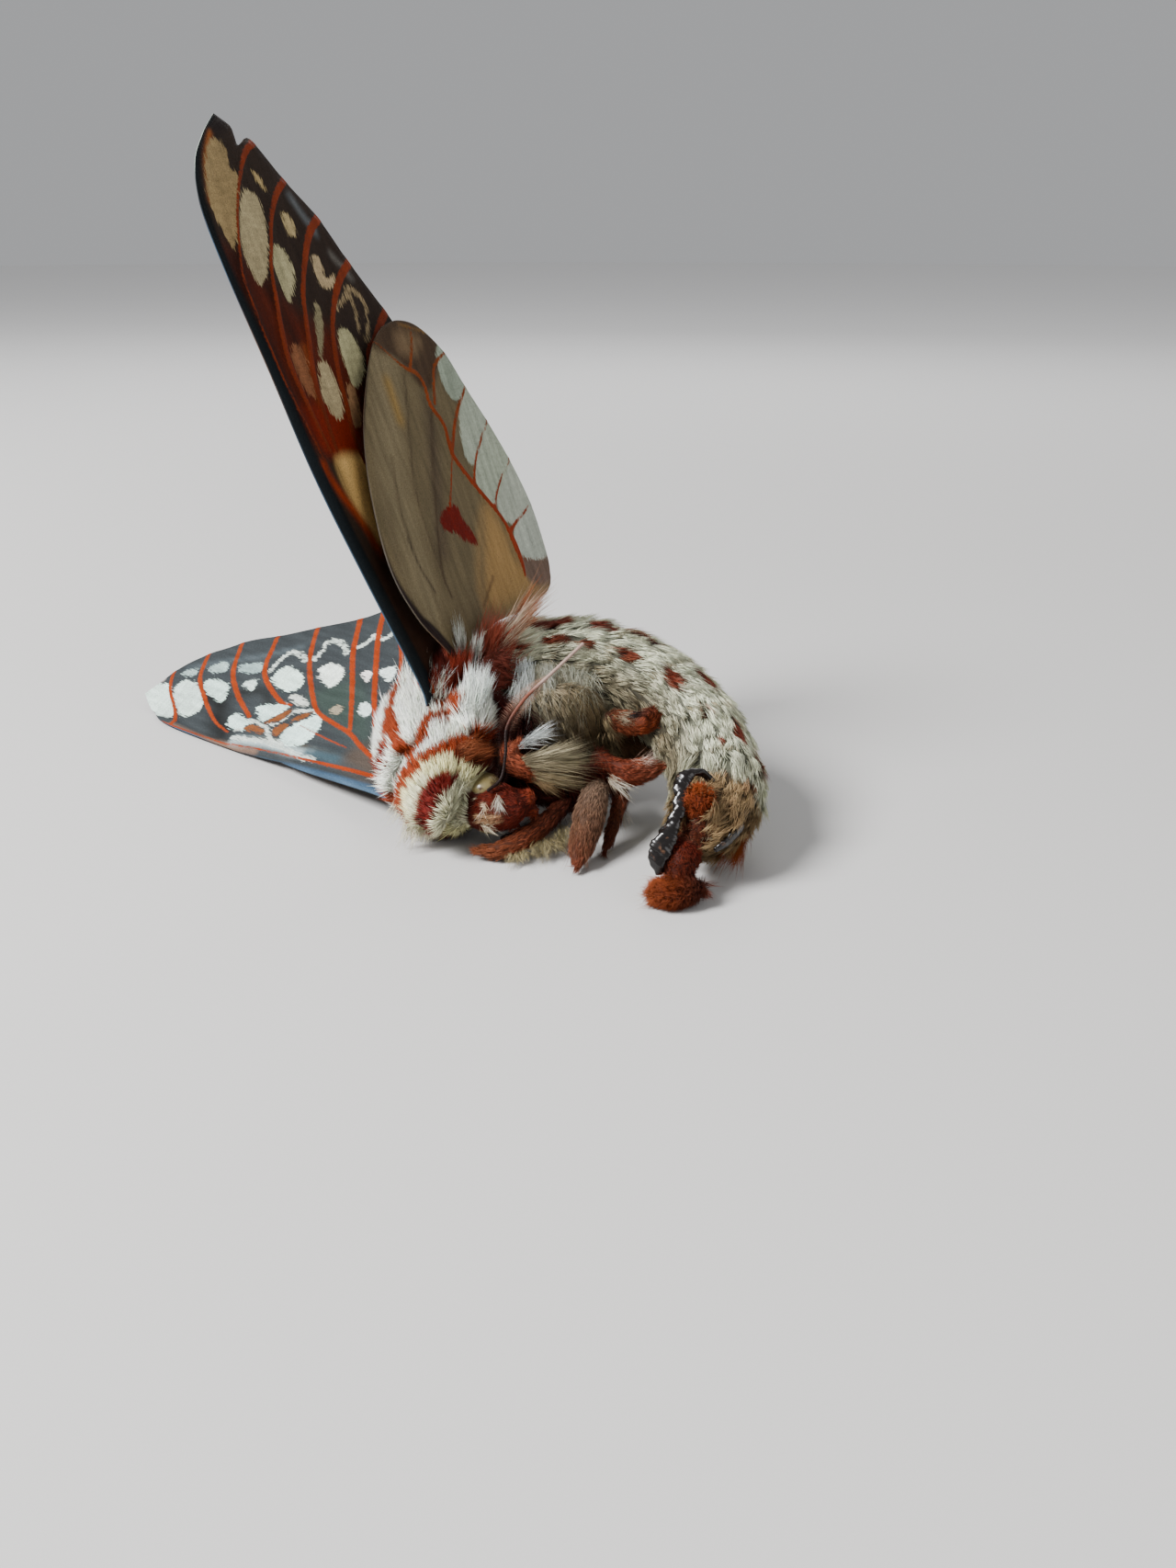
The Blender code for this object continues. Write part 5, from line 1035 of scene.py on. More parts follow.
def coat_piece(name, slot, rng, roots, normals, flow, tone, place_uv, length, width, flat, lift, curl, lean,
               root_shade=0.5):
    """One piece, or as many as keep each under the limit, of locks with their colours and their second map."""
    for number, lot in enumerate(np.array_split(np.arange(len(roots)), int(np.ceil(len(roots) / MOST_LOCKS)))):
        points, faces = lock_mesh(roots[lot], normals[lot], flow[lot], length[lot], width[lot], flat, lift[lot],
                                  curl[lot], lean[lot])
        piece = new_piece(f"{name}_{number + 1}", points, faces, slot)
        # Painted shade along each lock: dark at the root, where the coat shades itself, paler at the tip.
        shade = np.array([root_shade] * 3 + [0.95] * 3 + [1.12])
        jitter = rng.normal(1.0, 0.10, (len(lot), 1, 1)) * (1 + rng.normal(0, 0.02, (len(lot), 1, 3)))
        tones = np.clip(tone[lot][:, None] * shade[None, :, None] * jitter, 0, 0.92)
        paint(piece, "tone", tones.reshape(-1, 3))
        step = np.array([(0, 0), (1, 0), (2, 0), (0, 1), (1, 1), (2, 1), (1, 2)], float)
        spots = place_uv[lot][:, None] + (step / 2 - 0.5) * PATCH
        layer = piece.data.uv_layers.new(name="OFBake")
        layer.data.foreach_set("uv", spots.reshape(-1, 2)[faces.ravel()].astype(np.float32).ravel())
        piece.data.materials.append(coat_finish)


hide.calc_loop_triangles()
corners = np.empty(len(hide.loop_triangles) * 3, np.int32)
hide.loop_triangles.foreach_get("vertices", corners)
corners = corners.reshape(-1, 3)
triangle_forms = forms[corners[:, 0]]
edge_a, edge_b = (skin_points[corners[:, k]] - skin_points[corners[:, 0]] for k in (1, 2))
triangle_areas = 0.5 * np.linalg.norm(np.cross(edge_a, edge_b), axis=1)


def roots_on(rng, per_form):
    """Random places on the skin, so many to the square millimetre on each form, with the skin's normal there."""
    wanted = np.array([per_form.get(form, 0.0) for form in FORMS])[triangle_forms] * triangle_areas
    total = int(wanted.sum())
    pick = np.searchsorted(np.cumsum(wanted), rng.uniform(0, wanted.sum(), total))
    pick = np.minimum(pick, len(corners) - 1)
    a, b = np.sort(rng.uniform(0, 1, (2, total)), axis=0)
    weights = np.column_stack([a, b - a, 1 - b])
    places = (skin_points[corners[pick]] * weights[:, :, None]).sum(axis=1)
    normals = unit((skin_normals[corners[pick]] * weights[:, :, None]).sum(axis=1))
    return places, normals


def unrolled(forms, share, angle):
    """A place on the skin's unrolled form: each form has its own strip of the map, wide by its size, with the share along
    it one way and the angle round it the other."""
    size = np.array([np.sqrt(len(BODY[form][0]) * np.mean([row[3] for row in BODY[form][0]])) for form in FORMS])
    start = np.concatenate([[0], np.cumsum(size)]) / size.sum()
    wide = np.diff(start)
    across = start[forms] + wide[forms] * (0.04 + 0.92 * (angle / (2 * np.pi) + 0.5))
    return np.column_stack([across, 0.01 + 0.98 * share])


def nearest_head(points, heads, border=False):
    """For each point, the number of the nearest head, by squared distance, and with a border how near the point is to
    the line between that head and the next: 0 by the head, 1 half way between them."""
    found, edge = np.empty(len(points), int), np.zeros(len(points))
    for lot in np.array_split(np.arange(len(points)), len(points) // 2000 + 1):
        far = (heads**2).sum(axis=1) - 2 * points[lot] @ heads.T
        found[lot] = far.argmin(axis=1)
        if border:
            two = np.partition(far, 1, axis=1)[:, :2] + (points[lot] ** 2).sum(axis=1, keepdims=True)
            edge[lot] = np.sqrt(np.maximum(two[:, 0], 0) / np.maximum(two[:, 1], 1e-9))
    return found, edge


def grow(name, slot, seed, per_form, length, width, flat, lift, lie, tuft, pull, wild, root_shade=0.5, clear=None,
         toss=0.10, crack=0.0):
    """Roots on the forms named, combed by the lie and gathered in tufts: the locks of a tuft share a part of their
    direction and lean their tips together. Each lock takes the marking under its own tip and its tuft's, and is lower
    by the crack where its tuft borders on the next and darker there, a painted shade in the gap between tufts."""
    rng = np.random.default_rng(seed)
    roots, normals = roots_on(rng, per_form)
    keep = roots[:, 2] > 0.10
    if clear is not None:
        keep &= clear(roots)
    roots, normals = roots[keep], normals[keep]
    row = nearest_row(roots)
    kinds, along, turn, ahead, _ = place_of(roots, row)
    count = len(roots)
    heads = max(1, count // tuft)
    spread = roots
    if crack:
        round_it = AXIS[row, 3]
        spread = np.column_stack([along * AXIS[row, 16] * 0.45, np.cos(turn) * round_it, np.sin(turn) * round_it])
    head, edge = nearest_head(spread, spread[:heads], crack > 0)
    edge = crack * np.clip((edge - 0.80) / 0.18, 0, 1)
    flow = lie(roots, normals, kinds, along, turn, ahead) + rng.normal(0, wild, (heads, 3))[head]
    flow = unit(flow + rng.normal(0, 0.4 * wild, (count, 3)))
    if callable(lift):
        lift = lift(roots, kinds, along, turn)
    if callable(length):
        length = length(roots, kinds, along, turn)
    lengths = length * rng.lognormal(0, 0.12, heads)[head] * rng.lognormal(0, 0.10, count) * (1 - 0.25 * edge)
    lifts = np.clip(lift * (1 - 0.7 * edge) + rng.normal(0, toss, heads)[head] + rng.normal(0, 0.07, count), 0.02, 1.4)
    tips = roots + (flow * np.cos(lifts)[:, None] + normals * np.sin(lifts)[:, None]) * (0.75 * lengths)[:, None]
    lean = np.clip((tips[:heads][head] - tips) * pull, -0.8, 0.8)
    seen = 0.6 * tips + 0.4 * tips[:heads][head]
    kinds, along, turn, _, outer = place_of(seen, row)
    # Locks by a tuft's border are dimmed by the crack: painted shade in the gap between tufts.
    tone = body_tone(outer, kinds, along, turn) * (rng.normal(1.0, 0.07, heads)[head] * (1 - edge))[:, None]
    coat_piece(name, slot, rng, roots, normals, flow, tone, unrolled(kinds, np.clip(along, 0, 1), turn), lengths,
               width * rng.lognormal(0, 0.18, count), flat, lifts, rng.normal(0, 0.08, count), lean, root_shade)


def thorax_lie(roots, normals, kinds, along, turn, ahead):
    """Back from the head, outwards to the wing roots near them, and away from the neck on the front."""
    off = roots - THORAX_CENTRE
    near_wing = np.clip((off @ LEFT - 3.0) / 4.0, 0, 1) * np.clip((off @ BACK + 3) / 5, 0, 1)
    round_neck = roots - HEAD_CENTRE
    round_neck = unit(round_neck - (round_neck @ HEAD_FORE)[:, None] * HEAD_FORE)
    near_neck = np.clip((off @ FORE - 7.0) / 3.0, 0, 1)[:, None]
    return -FORE + near_wing[:, None] * LEFT * 0.8 + BACK * 0.15 + near_neck * round_neck * 0.8


def off_the_head(roots):
    """True where the place isn't on the head's side of the neck, near the head."""
    off = roots - HEAD_CENTRE
    along = off @ HEAD_FORE
    beside = np.linalg.norm(off - along[:, None] * HEAD_FORE, axis=1)
    return (along < -1.6) | (beside > 2.9)


def fleece(roots, kinds, along, turn):
    """The length of the thorax's hair: short by the neck, longer towards the wings."""
    off = roots - THORAX_CENTRE
    return 1.65 - 0.4 * np.clip((off @ FORE - 4.5) / 4, 0, 1)


def along_lie(roots, normals, kinds, along, turn, ahead):
    """Along the form, towards its end."""
    return ahead


def head_lie(roots, normals, kinds, along, turn, ahead):
    """Back over the head, half as much upwards."""
    return -HEAD_FORE + HEAD_CROWN * 0.5


def belly_lie(roots, normals, kinds, along, turn, ahead):
    """Forward, down towards the right side and across the photograph."""
    return FORE * 0.7 - LEFT * 0.5 + X * 0.45


def raised_edge(roots, kinds, along, turn):
    """The lift of the abdomen's scales: flat, and up at the rear edge of each segment."""
    return 0.32 + 0.16 * np.clip(((along * SEGMENTS) % 1 - 0.62) / 0.38, 0, 1)


def fuzz(roots, kinds, along, turn):
    """The length of the tail's hair: longest on the ball and the low lobe, where it makes a soft fuzz."""
    return np.where(np.isin(kinds, [FORMS.index("tail_knob"), FORMS.index("tail_low")]), 0.85, 0.6)


grow("thorax_coat", "thorax_hair", 11, {"thorax": 78.0, "shoulder": 78.0, "waist": 26.0, "wing_base_fore": 44.0,
     "wing_base_hind": 44.0, "wing_base_right": 44.0}, fleece, 0.032, 0.7, 0.60, thorax_lie, tuft=5, pull=0.16, wild=0.12,
     clear=off_the_head, toss=0.07)
grow("head_coat", "head_hair", 12, {"head": 130.0, "palp_left": 130.0, "palp_right": 130.0}, 0.62, 0.021, 0.7, 0.45,
     head_lie, tuft=6, pull=0.18, wild=0.16)
grow("belly_coat", "belly_hair", 13, {"belly": 42.0, "chest": 30.0, "flank": 38.0}, 2.0, 0.035, 0.7, 0.18, belly_lie,
     tuft=12, pull=0.24, wild=0.12)
grow("abdomen_coat", "abdomen_scales", 14, {"abdomen": 38.0}, 1.95, 0.048, 0.35, raised_edge, along_lie,
     tuft=34, pull=0.34, wild=0.20, root_shade=0.44, toss=0.09, crack=0.45)
grow("leg_coat", "leg_hair", 15, {form: 74.0 for form in FORMS if "leg" in form}, 0.85, 0.0245, 0.7, 0.32,
     along_lie, tuft=5, pull=0.18, wild=0.18)
grow("tail_coat", "tip_hair", 16, {"tail": 50.0, "tail_knob": 124.0, "tail_lobe": 80.0, "tail_low": 136.0}, fuzz,
     0.019, 0.8, 0.9, along_lie, tuft=3, pull=0.08, wild=0.8)

# Brushes: longer soft hair that stands out from the coat at wing bases, neck, head, knees and tail, rooted in the skin.
# Each is a base, a tip, half width and depth, its side, a bend, colours at base and tip, a share of locks and their width
BRUSHES = {
    "thorax_brush": ("thorax_hair", [
        ((-7.0, -2.6, 12.0), (-6.0, 0.9, 15.1), 1.3, 1.0, FORE, (0, 0, 0), (238, 244, 228), (232, 244, 238),
         420, 0.026),
        ((-12.6, 4.0, 9.6), (-13.4, 7.6, 12.8), 1.6, 2.0, BACK, (0, 0, 0), WHITE, (230, 234, 222), 200, 0.026),
        ((-10.6, 0.6, 12.2), (-10.0, 2.6, 15.0), 1.5, 1.1, BACK, (0, 0, 0), (238, 242, 222), (240, 246, 234),
         460, 0.024),
        ((-7.2, 5.0, 11.6), (-4.4, 9.6, 17.0), 2.2, 1.6, VIEW_UP, (0, 0, 0), (96, 30, 20), (158, 78, 56), 620, 0.026),
        ((-6.6, 3.0, 13.6), (-3.4, 5.6, 13.8), 2.0, 1.3, VIEW_UP, (0.4, -0.5, 0.8), (84, 26, 16), (120, 58, 44),
         460, 0.026),
        ((-5.9, 7.0, 14.6), (-0.4, 11.0, 19.7), 0.9, 0.6, VIEW_UP, (0, 0, 0), (234, 226, 200), (182, 96, 50),
         240, 0.024),
        ((-8.4, 4.2, 14.0), (-8.7, 5.4, 18.7), 0.9, 0.6, VIEW_UP, (0.3, 0, 0), (140, 130, 108), (222, 226, 218),
         130, 0.022),
        ((-7.0, 4.2, 14.0), (-6.7, 5.0, 17.4), 0.7, 0.5, VIEW_UP, (-0.2, 0, 0), (120, 108, 90), (210, 212, 204),
         90, 0.022),
        ((-8.8, 2.0, 12.4), (-8.0, 3.2, 16.2), 1.3, 0.9, BACK, (0, 0, 0), (84, 20, 10), (150, 56, 34), 360, 0.024),
        ((-7.0, 2.0, 11.0), (-3.6, -1.0, 10.0), 1.8, 1.5, VIEW_UP, (0.2, 0.6, 1.0), (60, 12, 7), (84, 28, 20),
         460, 0.028),
        ((-10.2, 6.5, 13.2), (-10.4, 8.6, 16.8), 1.5, 1.0, BACK, (0, 0, 0), (64, 20, 12), (110, 46, 30), 300, 0.028),
        ((-6.2, 7.2, 14.2), (-4.0, 8.8, 17.4), 1.3, 0.8, VIEW_UP, (0, 0, 0), (120, 46, 32), (166, 82, 58), 260, 0.026),
    ]),
    "collar_brush": ("collar_hair", [
        ((-8.8, -4.2, 8.2), (-5.2, -4.2, 10.2), 1.5, 1.1, FORE, (0.2, -0.6, 0.6), (80, 28, 11), (148, 82, 48),
         420, 0.023),
        ((-12.0, -2.6, 5.0), (-13.2, -4.2, 1.8), 2.0, 1.3, X, (0, 0, 0), (224, 212, 172), (236, 230, 204), 160, 0.024),
        ((-11.4, -4.2, 3.4), (-12.0, -5.6, 0.6), 1.6, 1.1, X, (0, 0, 0), (222, 214, 176), (234, 230, 206), 120, 0.024),
    ]),
    "head_brush": ("head_hair", [
        (HEAD_CENTRE + HEAD_FORE * 1.0 + HEAD_LEFT * 1.9 + HEAD_CROWN * 1.0,
         HEAD_CENTRE + HEAD_FORE * 1.5 + HEAD_LEFT * 0.7 + HEAD_CROWN * 2.7, 0.5, 0.4, HEAD_LEFT, (0, 0, 0),
         (206, 198, 176), (236, 232, 218), 34, 0.013),
        (HEAD_CENTRE + HEAD_FORE * 0.0 + HEAD_LEFT * 1.5 + HEAD_CROWN * 1.9,
         HEAD_CENTRE + HEAD_FORE * 0.1 + HEAD_LEFT * 0.0 + HEAD_CROWN * 3.0, 0.3, 0.25, HEAD_LEFT, (0, 0, 0),
         (222, 196, 150), (240, 232, 214), 9, 0.012),
        (HEAD_CENTRE + HEAD_FORE * -0.8 + HEAD_LEFT * -0.4 + HEAD_CROWN * 2.1,
         HEAD_CENTRE + HEAD_FORE * 1.6 + HEAD_LEFT * -1.1 + HEAD_CROWN * 2.9, 0.5, 0.35, HEAD_LEFT, (0, 0, 0),
         (206, 188, 150), (228, 218, 192), 22, 0.012),
    ]),
    "belly_brush": ("belly_hair", [
        ((-2.5, 6.6, 14.6), (-3.0, 0.6, 9.6), 1.3, 0.6, X, (0, -0.8, 0.8), (226, 234, 232), (178, 180, 172),
         130, 0.016),
        ((-0.4, 6.4, 14.2), (-0.6, 0.6, 10.2), 1.3, 0.6, X, (0, -0.9, 0.9), (200, 204, 190), (156, 150, 128),
         120, 0.017),
        ((2.8, 6.0, 13.6), (2.6, 0.8, 10.2), 1.7, 0.6, X, (0, -0.9, 0.9), (196, 200, 182), (126, 112, 84), 140, 0.017),
        ((0.6, 7.0, 13.6), (0.4, 2.6, 11.0), 3.0, 0.7, X, (0, -0.9, 0.9), (190, 194, 176), (126, 112, 84), 300, 0.024),
        ((-3.4, 3.0, 9.0), (-2.0, -1.4, 8.6), 1.9, 1.2, VIEW_UP, (0.4, 0.3, 0.8), (30, 8, 4), (54, 16, 11), 320, 0.030),
        ((4.4, 4.6, 7.8), (9.4, 3.0, 7.6), 1.5, 1.1, VIEW_UP, (0, 0, 0), (84, 58, 36), (96, 70, 44), 300, 0.026),
    ]),
    "leg_brush": ("leg_hair", [
        ((-2.8, -2.6, 7.5), (3.2, -2.3, 9.2), 0.7, 0.4, VIEW_UP, (0, -0.2, 0), (176, 164, 134), (160, 150, 122),
         220, 0.019),
        ((-2.8, -2.6, 7.5), (3.8, -2.3, 7.4), 0.9, 0.45, VIEW_UP, (0, -0.2, 0), (168, 156, 124), (152, 140, 112),
         300, 0.019),
        ((-2.3, -2.6, 6.7), (3.2, -2.4, 5.5), 0.7, 0.4, VIEW_UP, (0, -0.2, 0), (158, 140, 106), (146, 134, 106),
         220, 0.019),
        ((-1.8, -2.6, 6.1), (1.0, -2.5, 5.0), 0.5, 0.3, VIEW_UP, (0, -0.2, 0), (146, 120, 84), (140, 120, 90),
         120, 0.018),
        ((-2.8, -2.4, 8.8), (0.9, -2.0, 10.1), 0.6, 0.4, VIEW_UP, (0, 0, 0.6), (232, 240, 236), (240, 248, 246),
         64, 0.016),
        ((5.2, -2.0, 5.9), (7.6, -3.0, 4.7), 0.7, 0.5, VIEW_UP, (0, 0, 0), (200, 176, 146), (236, 230, 214), 44, 0.015),
        ((7.2, -1.6, 7.0), (10.2, -1.8, 7.6), 0.6, 0.5, VIEW_UP, (0, 0, 0), (176, 106, 74), (230, 220, 206), 80, 0.015),
        ((5.8, 1.6, 10.2), (8.0, 0.6, 10.4), 0.8, 0.6, VIEW_UP, (0, 0, 0), (110, 66, 40), (196, 184, 156), 90, 0.016),
        ((1.2, -4.0, 2.2), (1.6, -6.4, 0.8), 1.7, 0.4, X, (0, 0, 0), (140, 124, 88), (170, 158, 118), 110, 0.016),
        ((-0.6, -5.8, 1.7), (0.0, -7.9, 0.5), 1.7, 0.35, X, (0, 0, 0), (140, 124, 88), (176, 164, 124), 130, 0.016),
        ((-2.6, -7.0, 1.2), (-2.0, -8.8, 0.4), 1.6, 0.3, X, (0, 0, 0), (146, 128, 90), (180, 168, 128), 120, 0.016),
        ((6.3, -1.0, 3.4), (6.6, -4.6, 1.8), 0.5, 0.4, X, (0, 0, 0), (140, 122, 106), (190, 180, 164), 50, 0.014),
        ((2.9, -6.4, 4.0), (2.6, -9.6, 1.0), 0.9, 0.5, X, (0, 0, 0), (126, 92, 68), (120, 72, 50), 260, 0.022),
    ]),
    "tail_brush": ("tip_hair", [
        ((16.8, -9.6, 4.2), (15.5, -11.0, 1.0), 0.9, 0.6, X, (0, 0, 0), (92, 32, 10), (150, 72, 20), 300, 0.017),
        ((13.2, -11.0, 7.8), (15.6, -12.6, 7.2), 1.0, 0.9, Z, (0, 0, 0), (84, 56, 34), (160, 136, 100), 110, 0.013),
        ((13.0, -11.0, 8.2), (14.6, -11.8, 9.6), 0.7, 0.6, Z, (0, 0, 0), (96, 64, 40), (156, 132, 96), 60, 0.013),
        ((13.4, -12.0, 5.6), (12.6, -13.2, 5.4), 1.2, 1.0, X, (0, 0, 0), (140, 128, 104), (166, 154, 128), 120, 0.018),
        ((9.6, -16.2, 1.2), (8.2, -16.0, 0.4), 0.9, 0.6, Y, (0, 0, 0), (112, 50, 20), (156, 86, 46), 140, 0.015),
        ((11.4, -15.8, 2.0), (9.0, -17.4, 2.6), 1.0, 0.6, X, (0, 0, 0), (84, 34, 16), (140, 66, 30), 90, 0.014),
        ((12.2, -15.4, 1.6), (14.0, -16.4, 1.2), 0.8, 0.6, Z, (0, 0, 0), (60, 24, 14), (110, 48, 24), 90, 0.014),
    ]),
}
LOCKS_PER_SHARE = 2.2
brush_rng = np.random.default_rng(21)
for brush, (slot, tufts) in BRUSHES.items():
    gathered = []
    for base, tip, wide, deep, side, bend, base_tone, tip_tone, count, thin in tufts:
        count = int(LOCKS_PER_SHARE * count)
        base, tip = np.asarray(base, float), np.asarray(tip, float)
        ahead = unit(tip - base)
        across = unit(np.asarray(side) - np.dot(side, ahead) * ahead)
        other = np.cross(ahead, across)
        heads = 14 + count // 40
        radius, turn = np.sqrt(brush_rng.uniform(0, 1, heads)), brush_rng.uniform(0, 2 * np.pi, heads)
        disc = np.outer(radius * np.cos(turn) * wide, across) + np.outer(radius * np.sin(turn) * deep, other)
        head = brush_rng.integers(0, heads, count)
        at = brush_rng.uniform(0.0, 0.5, count)[:, None]
        own = brush_rng.normal(0, 0.22, (count, 3)) * (across * wide + other * deep)
        roots = base + (tip - base) * at + disc[head] * 0.7 + own + np.asarray(bend) * 4 * at * (1 - at)
        reach = at + brush_rng.uniform(0.28, 0.60, heads)[head][:, None] + brush_rng.normal(0, 0.04, (count, 1))
        aim = base + (tip - base) * reach + disc[head] * (0.7 + 0.45 * reach) + own * 0.25 - roots
        loose = 0.14 if thin > 0.018 else 0.26
        stray = brush_rng.normal(0, loose, (heads, 3))[head] + brush_rng.normal(0, 0.4 * loose, (count, 3))
        aim = aim + stray * np.linalg.norm(aim, axis=1, keepdims=True)
        outward = unit(disc[head] + 0.2 * across + brush_rng.normal(0, 0.05, (count, 3)))
        outward = unit(outward - (outward * unit(aim)).sum(axis=1, keepdims=True) * unit(aim))
        share = np.clip(at[:, 0] + brush_rng.uniform(0, 0.55, heads)[head], 0, 1)[:, None]
        tone = screen(*base_tone) * (1 - share) + screen(*tip_tone) * share
        tone = tone * brush_rng.normal(1, 0.08, heads)[head][:, None]
        lengths = np.linalg.norm(aim, axis=1) * brush_rng.uniform(0.8, 1.1, count)
        gathered.append((roots, outward, unit(aim), tone, lengths, np.full(count, thin)))
    roots, outward, aim, tone, lengths, thin = (np.concatenate([one[k] for one in gathered]) for k in range(6))
    kinds, along, turn, _, _ = place_of(roots, nearest_row(roots))
    coat_piece(brush, slot, brush_rng, roots, outward, aim, tone, unrolled(kinds, np.clip(along, 0, 1), turn), lengths,
               thin * brush_rng.lognormal(0, 0.2, len(roots)), 0.7, np.full(len(roots), 0.12),
               brush_rng.normal(0, 0.10, len(roots)), np.zeros((len(roots), 3)), 0.6)
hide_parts("tip_fringe")




# Eyes: low domes of many lenses, pale olive with brown flecks as in a dried moth, set into the
# sides of the head so that only a narrow rim stands above the hair.
def dome(centre, axis, radius, squash, rings=40, sides=64):
    """An ellipsoid on a grid of two angles, flattened along the axis by the squash."""
    axis = unit(axis)
    across = unit(np.cross(axis, [0.3, 0.1, 0.9]))
    other = np.cross(axis, across)
    fall = np.linspace(0, np.pi, rings + 2)[1:-1]
    turn = np.linspace(0, 2 * np.pi, sides, endpoint=False)
    ring = np.sin(fall)[:, None, None] * (np.cos(turn)[None, :, None] * across + np.sin(turn)[None, :, None] * other)
    body = np.asarray(centre) + radius * (ring + np.cos(fall)[:, None, None] * axis * squash)
    ends = np.array([centre + axis * radius * squash, centre - axis * radius * squash])
    return np.vstack([body.reshape(-1, 3), ends]), tube_faces(rings, sides)[:, ::-1]


eye_finish, shader = finish_of("eye_lenses", 0.40, 0.3)
place = put(eye_finish, "ShaderNodeTexCoord").outputs["Object"]
blot = put(eye_finish, "ShaderNodeTexNoise", [("Vector", place), ("Scale", 1500.0), ("Detail", 3.0)]).outputs["Fac"]
blot = put(eye_finish, "ShaderNodeMapRange", [("Value", blot), ("From Min", 0.56), ("From Max", 0.66)]).outputs["Result"]
shade = mixed(eye_finish, blot, (*screen(112, 100, 64), 1), (*screen(60, 38, 20), 1))
eye_finish.node_tree.links.new(shade, shader.inputs["Base Color"])
lens = put(eye_finish, "ShaderNodeTexVoronoi", [("Vector", place), ("Scale", 11000.0)]).outputs["Distance"]
roughen(eye_finish, shader, lens, 0.4, 0.00003)
shader.inputs["Coat Weight"].default_value = 0.4
for hand, node in ((1, "eye_left"), (-1, "eye_right")):
    centre = HEAD_CENTRE + HEAD_FORE * -0.7 + HEAD_LEFT * 1.95 * hand + HEAD_CROWN * -0.45
    eye = new_piece(node + "_lenses", *dome(centre, HEAD_LEFT * hand, 1.45, 0.62), "eye_surface")
    eye.data.materials.append(eye_finish)
    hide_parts(node)


# Feelers: a jointed shaft, scaled at its foot, with two rows of fine bristled branches along
# its first two thirds and a bare pale thread beyond them.
def feeler(name, points, normal):
    """A shaft through the points with a ring at each joint, and branches that leave it in pairs and bend forward."""
    rows = [(*p, r, r) for p, r in zip(points, (0.14, 0.12, 0.12, 0.10, 0.08, 0.055, 0.03))]
    rings = rings_along(rows, np.asarray(normal, float), 190, 12)
    middle = rings.mean(axis=1, keepdims=True)
    joint = 1 + 0.10 * np.sin(np.arange(len(rings)) * 2 * np.pi / 4)[:, None, None]
    parts = [tube(middle + (rings - middle) * joint)]
    fine = even_line(rows, 400)
    ahead = unit(np.gradient(fine[:, :3], axis=0))
    shares = np.repeat(np.linspace(0.06, 0.68, 34), 2)
    hands = np.tile([1.0, -1.0], 34)
    at = (shares * 399).astype(int)
    out = unit(np.cross(ahead[at], np.asarray(normal, float))) * hands[:, None]
    reach = 1.0 * np.sin(np.pi * (0.22 + 0.74 * (shares - 0.06) / 0.62)) ** 0.7
    up = unit(np.asarray(normal, float))
    flow = unit(out + 0.55 * ahead[at])
    for hair in range(3):
        spread = (hair - 1) * 0.16
        parts.append(lock_mesh(fine[at, :3] + ahead[at] * spread * 0.5, np.tile(up, (len(at), 1)),
                               flow + ahead[at] * spread, reach * (1 - 0.12 * abs(hair - 1)), np.full(len(at), 0.026),
                               1.0, np.full(len(at), 0.18), 0.25 * hands))
    piece = new_piece(name + "_feathered", *joined(parts), "antenna_shaft")
    points = np.concatenate([points for points, _ in parts])
    near = np.argmin(np.linalg.norm(points[:, None, :] - fine[None, ::8, :3], axis=2), axis=1) / 50
    far = np.clip((near - 0.52) / 0.12, 0, 1)[:, None]
    mid = np.clip((near - 0.30) / 0.15, 0, 1)[:, None]
    tone = (screen(22, 8, 6) * (1 - mid) + screen(112, 66, 52) * mid) * (1 - far) + screen(150, 126, 116) * far
    shaft = len(parts[0][0])
    tone[shaft:] = screen(176, 132, 112) * mid[shaft:] + screen(34, 14, 10) * (1 - mid[shaft:])
    paint(piece, "tone", tone * (1 + 0.10 * ragged(points, 0.25))[:, None])
    piece.data.materials.append(feeler_finish)
    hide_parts(name)


feeler_finish, shader = finish_of("feeler_scales", 0.5)
speckle(feeler_finish, shader, 7000.0, 2.0, 0.6, 1.5)
feeler("antenna_left", [(-5.32, -6.5, 6.45), (-4.2, -5.6, 7.27), (-3.83, -4.4, 9.23), (-3.71, -3.2, 11.2),
                        (-2.22, -2.0, 13.35), (0.14, -0.4, 15.19), (2.99, 1.5, 17.41)], (0.1, -0.9, 0.4))
feeler("antenna_right", [(-4.4, -4.6, 1.0), (-3.4, -3.0, 0.8), (-2.2, -1.4, 0.8), (-0.8, 0.2, 0.8), (0.8, 2.0, 0.8),
                         (2.8, 4.0, 0.8), (5.2, 6.2, 0.8)], (0.0, 0.1, 1.0))


# Claspers: two hard shells of dark brown horn, grown at the end of the abdomen and open, polished
# outside, with duller brown flecks scattered by a noise.
clasper_finish, shader = finish_of("clasper_horn", 0.18, 0.5)
place = put(clasper_finish, "ShaderNodeTexCoord").outputs["Object"]
grain = put(clasper_finish, "ShaderNodeTexNoise", [("Vector", place), ("Scale", 1400.0), ("Detail", 4.0)]).outputs["Fac"]
chip = put(clasper_finish, "ShaderNodeMapRange", [("Value", grain), ("From Min", 0.62), ("From Max", 0.78)])
shade = mixed(clasper_finish, chip.outputs["Result"], (*screen(14, 10, 9), 1), (*screen(104, 72, 50), 1))
clasper_finish.node_tree.links.new(shade, shader.inputs["Base Color"])
gloss = put(clasper_finish, "ShaderNodeMapRange", [("Value", grain), ("To Min", 0.10), ("To Max", 0.34)])
clasper_finish.node_tree.links.new(gloss.outputs["Result"], shader.inputs["Roughness"])
roughen(clasper_finish, shader, grain, 0.25, 0.0001)
